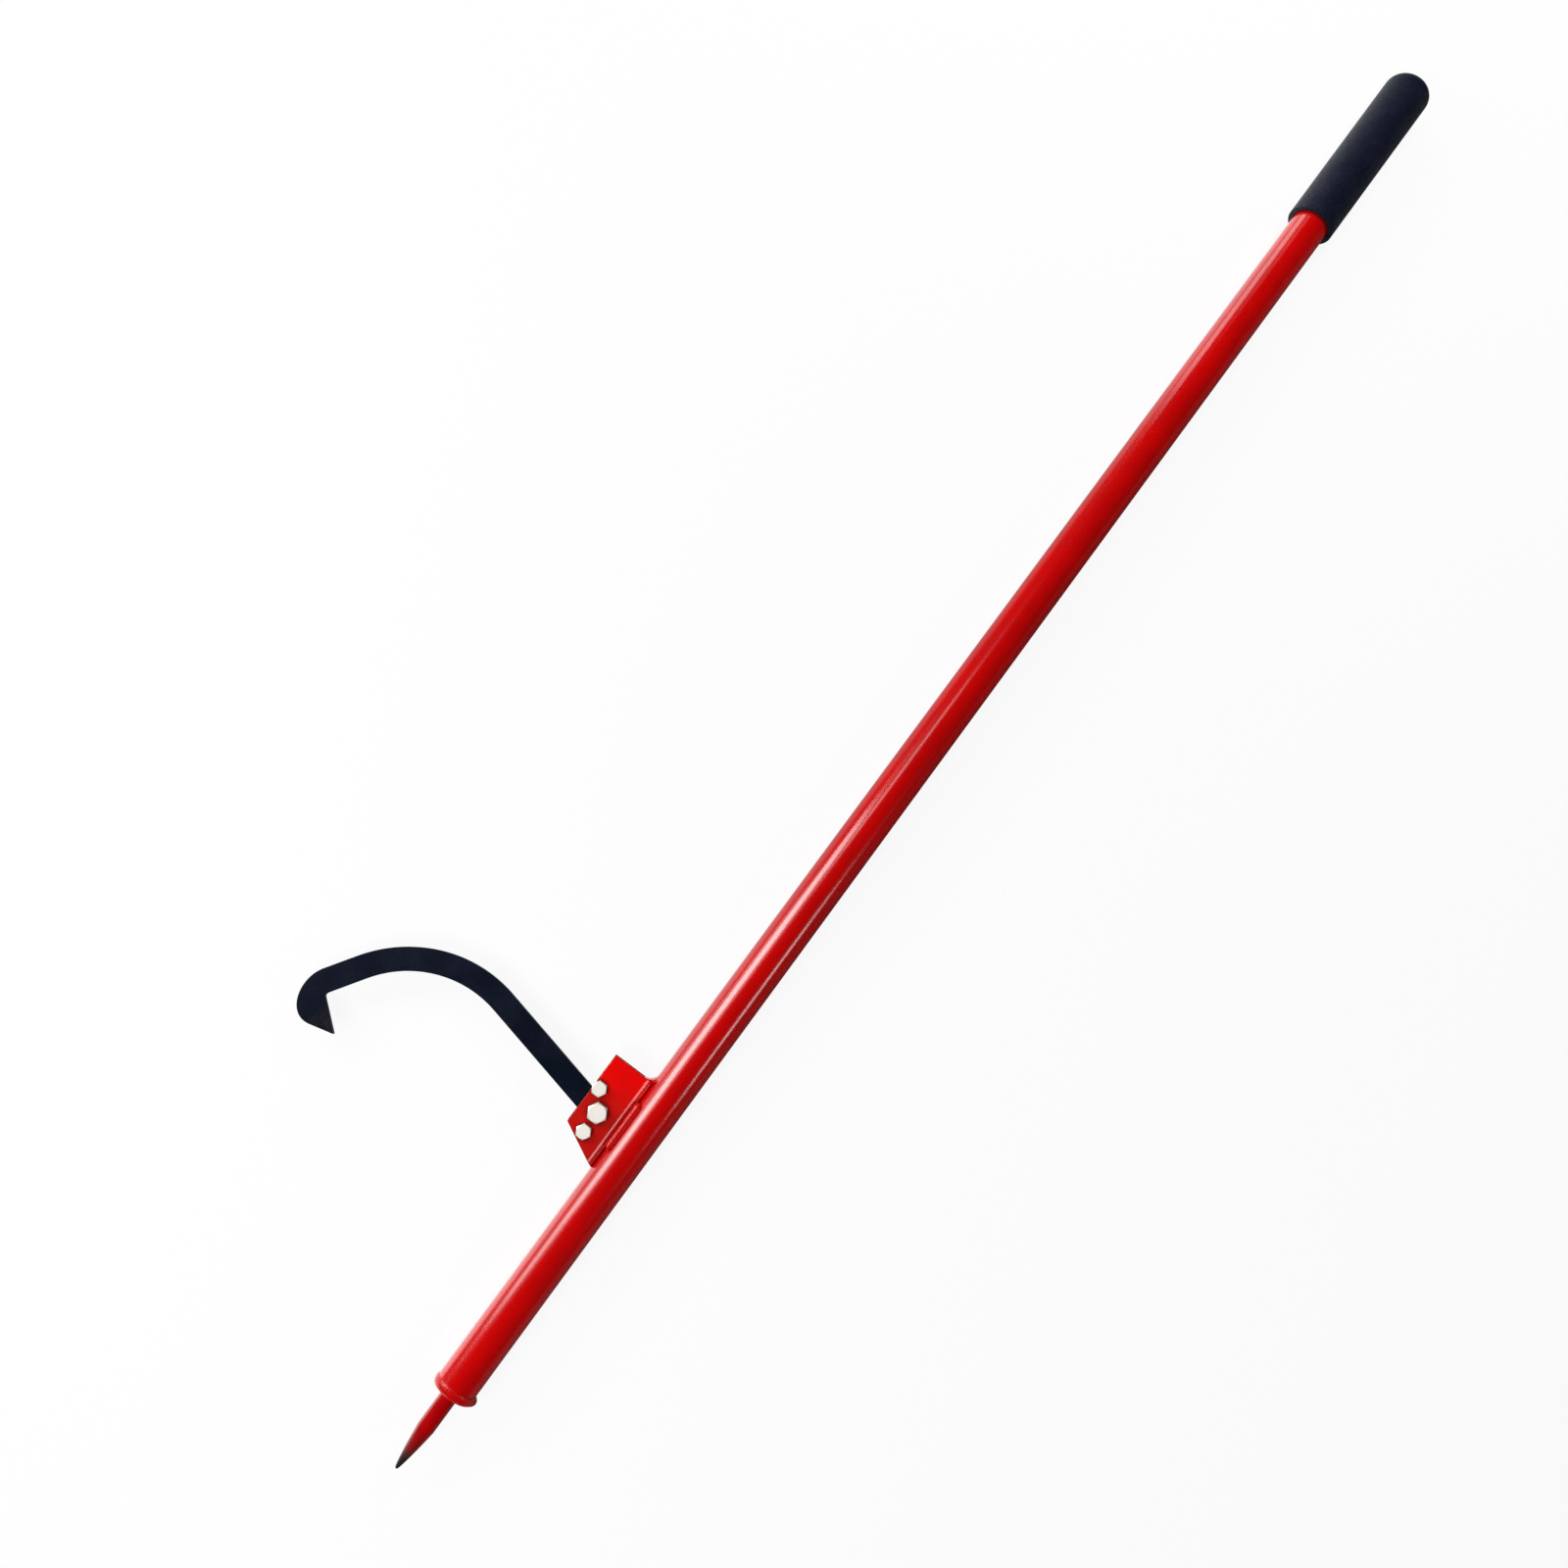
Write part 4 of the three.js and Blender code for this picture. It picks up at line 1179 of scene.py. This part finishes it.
bm = bmesh.new()
across = [bm.verts.new((BAR_HALF, 0, 0)), bm.verts.new((-BAR_HALF, 0, 0))]
shank = bmesh.ops.extrude_edge_only(bm, edges=[bm.edges.new(across)])
shank_end = points_of(shank["geom"])
shift(bm, (0, SHANK, 0), shank_end)
shank_top = [e for e in edges_of(shank["geom"]) if all(v in shank_end for v in e.verts)]
arch = bmesh.ops.spin(
    bm, geom=shank_top + shank_end, cent=arch_middle, axis=(0, 0, 1),
    dvec=(0, 0, 0), angle=ARCH_TURN, steps=ARCH_STEPS, use_duplicate=False,
)
inner_last, outer_last = sorted(points_of(arch["geom_last"]), key=lambda v: (v.co - arch_middle).length)
beak_outline = [bm.verts.new(p) for p in [*knuckle, beak_point, *soft_corner]]
bm.faces.new([outer_last] + beak_outline + [inner_last])
foot = [bm.verts.new((x, y, 0)) for x, y in arc(0, 0, BAR_HALF, 180, 360, 28)[1:-1]]
bm.faces.new([across[1]] + foot + [across[0]])
bmesh.ops.remove_doubles(bm, verts=bm.verts, dist=MERGE_DISTANCE)
plan = bmesh.ops.extrude_face_region(bm, geom=bm.faces[:])
shift(bm, (0, 0, BAR_THICK), points_of(plan["geom"]))
shift(bm, (0, 0, -BAR_THICK / 2))
bmesh.ops.recalc_face_normals(bm, faces=bm.faces)
round_edges(bm, from_angle=35, radius=BAR_EDGE, clamp=True)
bmesh.ops.rotate(bm, verts=bm.verts, cent=(0, 0, 0), matrix=Matrix.Rotation(-REST_LEAN, 3, "Z"))
shift(bm, (pivot.x, pivot.y, 0))
hook = on_bench(bm, "flat_bar_hook")
drill(hook, pivot, PIVOT_THREAD)
dress(hook, bar_paint, "hook", body="hook", flat_faces=True)

# %% [markdown]
# A bolt is a hex head whose corners are turned off, a plain shank, and a cut thread at its end. The
# head is what a six-sided block and a turned cone-topped block share, which gives the curved edge
# that a real head has on each flat. The thread is a small V spun while it climbs, and the turned
# end shape trims it.

# %% Hex blocks and threads
HEX_FACE_SHARE = 0.95
CORNER_DROP = radians(30)
LATHE_SIDES = 96
THREAD_STEPS = 28
THREAD_DEPTH = 0.6
THREAD_MERGE = 2e-3
ROOT_END = 0.1
CREST_START = 0.45
CREST_END = 0.6
LEAD_IN = 1.2
SPARE_TURNS = 3
LEVEL = 1e-4


def hex_block(across_flats, height, both_ends):
    """A six-sided block with its base at Z 0, and with one or both faces turned to a round."""
    corner = across_flats / 2 / cos(pi / 6)
    face = HEX_FACE_SHARE * across_flats / 2
    drop = (corner - face) * tan(CORNER_DROP)
    bm = prism(6, corner, height)
    shift(bm, (0, 0, height / 2))
    block = on_bench(bm, "hex_block")
    base = [(0, face), (drop, corner)] if both_ends else [(0, corner)]
    lens = [(0, 0)] + base + [(height - drop, corner), (height, face), (height, 0)]
    carve(block, turned_piece("turned_faces", lens, LATHE_SIDES, axis="Z"), "INTERSECT")
    return block


def thread_end(radius, pitch, bottom, top):
    """A threaded rod along Z, made of a V that climbs one pitch each turn."""
    turns = int((top - bottom) / pitch) + SPARE_TURNS
    root = radius - THREAD_DEPTH * pitch
    bm = bmesh.new()
    verts = [
        bm.verts.new((r, 0, bottom + (share - LEAD_IN) * pitch))
        for r, share in ((root, 0), (root, ROOT_END), (radius, CREST_START), (radius, CREST_END), (root, 1))
    ]
    for first, second in zip(verts, verts[1:]):
        bm.edges.new((first, second))
    bmesh.ops.spin(
        bm, geom=bm.verts[:] + bm.edges[:], cent=(0, 0, 0), axis=(0, 0, 1), use_duplicate=False,
        dvec=(0, 0, pitch / THREAD_STEPS), angle=2 * pi * turns, steps=THREAD_STEPS * turns,
    )
    bmesh.ops.remove_doubles(bm, verts=bm.verts, dist=THREAD_MERGE)
    for height, up in ((bottom, -1), (top, 1)):
        cut_away(bm, (0, 0, height), (0, 0, up))
        close_holes(bm, [e for e in bm.edges if all(abs(v.co.z - height) < LEVEL for v in e.verts)])
    return bm


print("thread depth:", THREAD_DEPTH, "of the pitch")

# %% [markdown]
# The three fastenings are the same set in two sizes: bolt, lock nut and nylon ring. So one function
# makes a set, and the solids' own boxes say where it goes and how long it is.

# %% Fastenings
HEAD_BASE = CHEEK_OUTSIDE + FIT_GAP
END_CHAMFER = 0.9
COLLAR_SHARE = 0.92
COLLAR_HEIGHT_SHARE = 0.3
COLLAR_ROUND = 1.0
RING_SHARE = 0.78
RING_TIGHTNESS = 0.15
CROWN_BASE = 0.6
CROWN_RISE = 0.35
THREAD_IN_NUT = 1.0
TRIM_GAP = 0.05
TRIM_PAST = 0.5
SHANK_BITE = 0.4
HEAD_BITE = 1.0
SHANK_UNDER = 0.02
PLATED_SHARP = 28
BORE_SIDES = 64
TRIM_SIDES = 48


def make_bolt(name, node, place, thread, pitch, across_flats, head_height):
    """A bolt whose head sits on the near cheek and whose threaded end points to the far side."""
    end = along_handle(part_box(node)[0]).z
    radius = thread / 2
    thread_top = -HEAD_BASE - THREAD_IN_NUT
    bolt = hex_block(across_flats, head_height, False)
    bolt.data.transform(Matrix.Translation((0, 0, HEAD_BASE)))
    rod = on_bench(thread_end(radius, pitch, end, thread_top), "thread")
    trim = [(end - TRIM_PAST, 0), (end - TRIM_PAST, radius - END_CHAMFER - TRIM_PAST)]
    trim += [(end + END_CHAMFER, radius + TRIM_GAP), (thread_top + TRIM_PAST, radius + TRIM_GAP)]
    trim += [(thread_top + TRIM_PAST, 0)]
    carve(rod, turned_piece("end_shape", trim, TRIM_SIDES, axis="Z"), "INTERSECT")
    low = thread_top - SHANK_BITE
    high = HEAD_BASE + HEAD_BITE
    plain = [(low, 0), (low, radius - SHANK_UNDER), (high, radius - SHANK_UNDER), (high, 0)]
    carve(bolt, turned_piece("shank", plain, BORE_SIDES, axis="Z"), "UNION")
    carve(bolt, rod, "UNION")
    bolt.name = bolt.data.name = name
    bolt.data.transform(Matrix.Translation((place.x, place.y, 0)))
    dress(bolt, zinc, node, sharp=PLATED_SHARP)
    return bolt


def under_cheek(place):
    """Carries a piece from the bench to the far cheek, upside down."""
    return Matrix.Translation((place.x, place.y, -HEAD_BASE)) @ Matrix.Rotation(pi, 4, "X")


def make_lock_nut(name, node, place, thread, across_flats, height):
    """A nut under the far cheek: a hex, a round collar, and a bore that widens for the nylon ring."""
    hex_height = (1 - COLLAR_HEIGHT_SHARE) * height
    collar = COLLAR_SHARE * across_flats / 2
    hole = thread / 2 + FIT_GAP
    seat = RING_SHARE * across_flats / 2 + FIT_GAP
    nut = hex_block(across_flats, hex_height, True)
    dome = [(hex_height / 2, 0), (hex_height / 2, collar)]
    dome += [(x, r) for r, x in arc(collar - COLLAR_ROUND, height - COLLAR_ROUND, COLLAR_ROUND, 0, 90, 6)]
    dome += [(height, 0)]
    carve(nut, turned_piece("collar", dome, LATHE_SIDES, axis="Z"), "UNION")
    bore = [(-1, 0), (-1, hole), (hex_height, hole), (hex_height, seat), (height + 1, seat), (height + 1, 0)]
    carve(nut, turned_piece("bore", bore, BORE_SIDES, axis="Z"))
    nut.name = nut.data.name = name
    nut.data.transform(under_cheek(place))
    dress(nut, zinc, node, sharp=PLATED_SHARP)
    return nut


def make_nylon_ring(name, node, place, thread, across_flats, height):
    """The ring in the nut's collar, with a soft crown where the collar is rolled over it."""
    base = (1 - COLLAR_HEIGHT_SHARE) * height + FIT_GAP
    outer = RING_SHARE * across_flats / 2
    inner = thread / 2 - RING_TIGHTNESS
    middle = (outer + inner) / 2
    crown = [
        (height - CROWN_BASE + CROWN_RISE * rise, middle + (outer - inner) / 2 * out)
        for out, rise in arc(0, 0, 1, 0, 180, 10)
    ]
    ring = turned_piece(name, [(base, inner), (base, outer)] + crown + [(base, inner)], LATHE_SIDES, axis="Z")
    ring.data.transform(under_cheek(place))
    dress(ring, nylon, node)


plated = bpy.data.collections.new("plated_pieces")


def fasten(use, place, thread, pitch, across_flats, head_height, nut_height):
    """Bolt, lock nut and nylon ring through the bracket at one place."""
    bolt = make_bolt(f"{use}_hex_bolt", f"{use}_bolt", place, thread, pitch, across_flats, head_height)
    nut = make_lock_nut(f"{use}_nut", f"{use}_lock_nut", place, thread, across_flats, nut_height)
    make_nylon_ring(f"{use}_nylon_ring", f"{use}_nut_insert", place, thread, across_flats, nut_height)
    plated.objects.link(bolt)
    plated.objects.link(nut)


fasten("pivot", pivot, PIVOT_THREAD, pitch=1.25, across_flats=13.0, head_height=5.3, nut_height=8.0)
for use, place in (("upper_stop", upper_stop), ("lower_stop", lower_stop)):
    fasten(use, place, STOP_THREAD, pitch=1.0, across_flats=10.0, head_height=4.0, nut_height=6.0)

# %% [markdown]
# In the photo the plated heads are nearly white, which bare metal is only where it mirrors a lamp.
# The heads face straight up, so that lamp hangs overhead. A pale line also runs along the bracket's
# bend, all the way, and a lamp between overhead and the far side draws it. Either lamp would draw a
# line on the tube too, where the photo has none, so each is linked to its own pieces alone.

# %% Panels for the plated heads and the bend
plate_panel = soft_panel("plate_panel", -0.50, angle=0, distance=1.05, length=0.40, width=0.40, radiance=1.65)
plate_panel.light_linking.receiver_collection = plated

bent_plate = bpy.data.collections.new("bent_plate")
bent_plate.objects.link(bracket)
bend_panel = soft_panel("bend_panel", -0.51, angle=-36, distance=1.1, length=0.24, width=0.50, radiance=3.3)
bend_panel.light_linking.receiver_collection = bent_plate
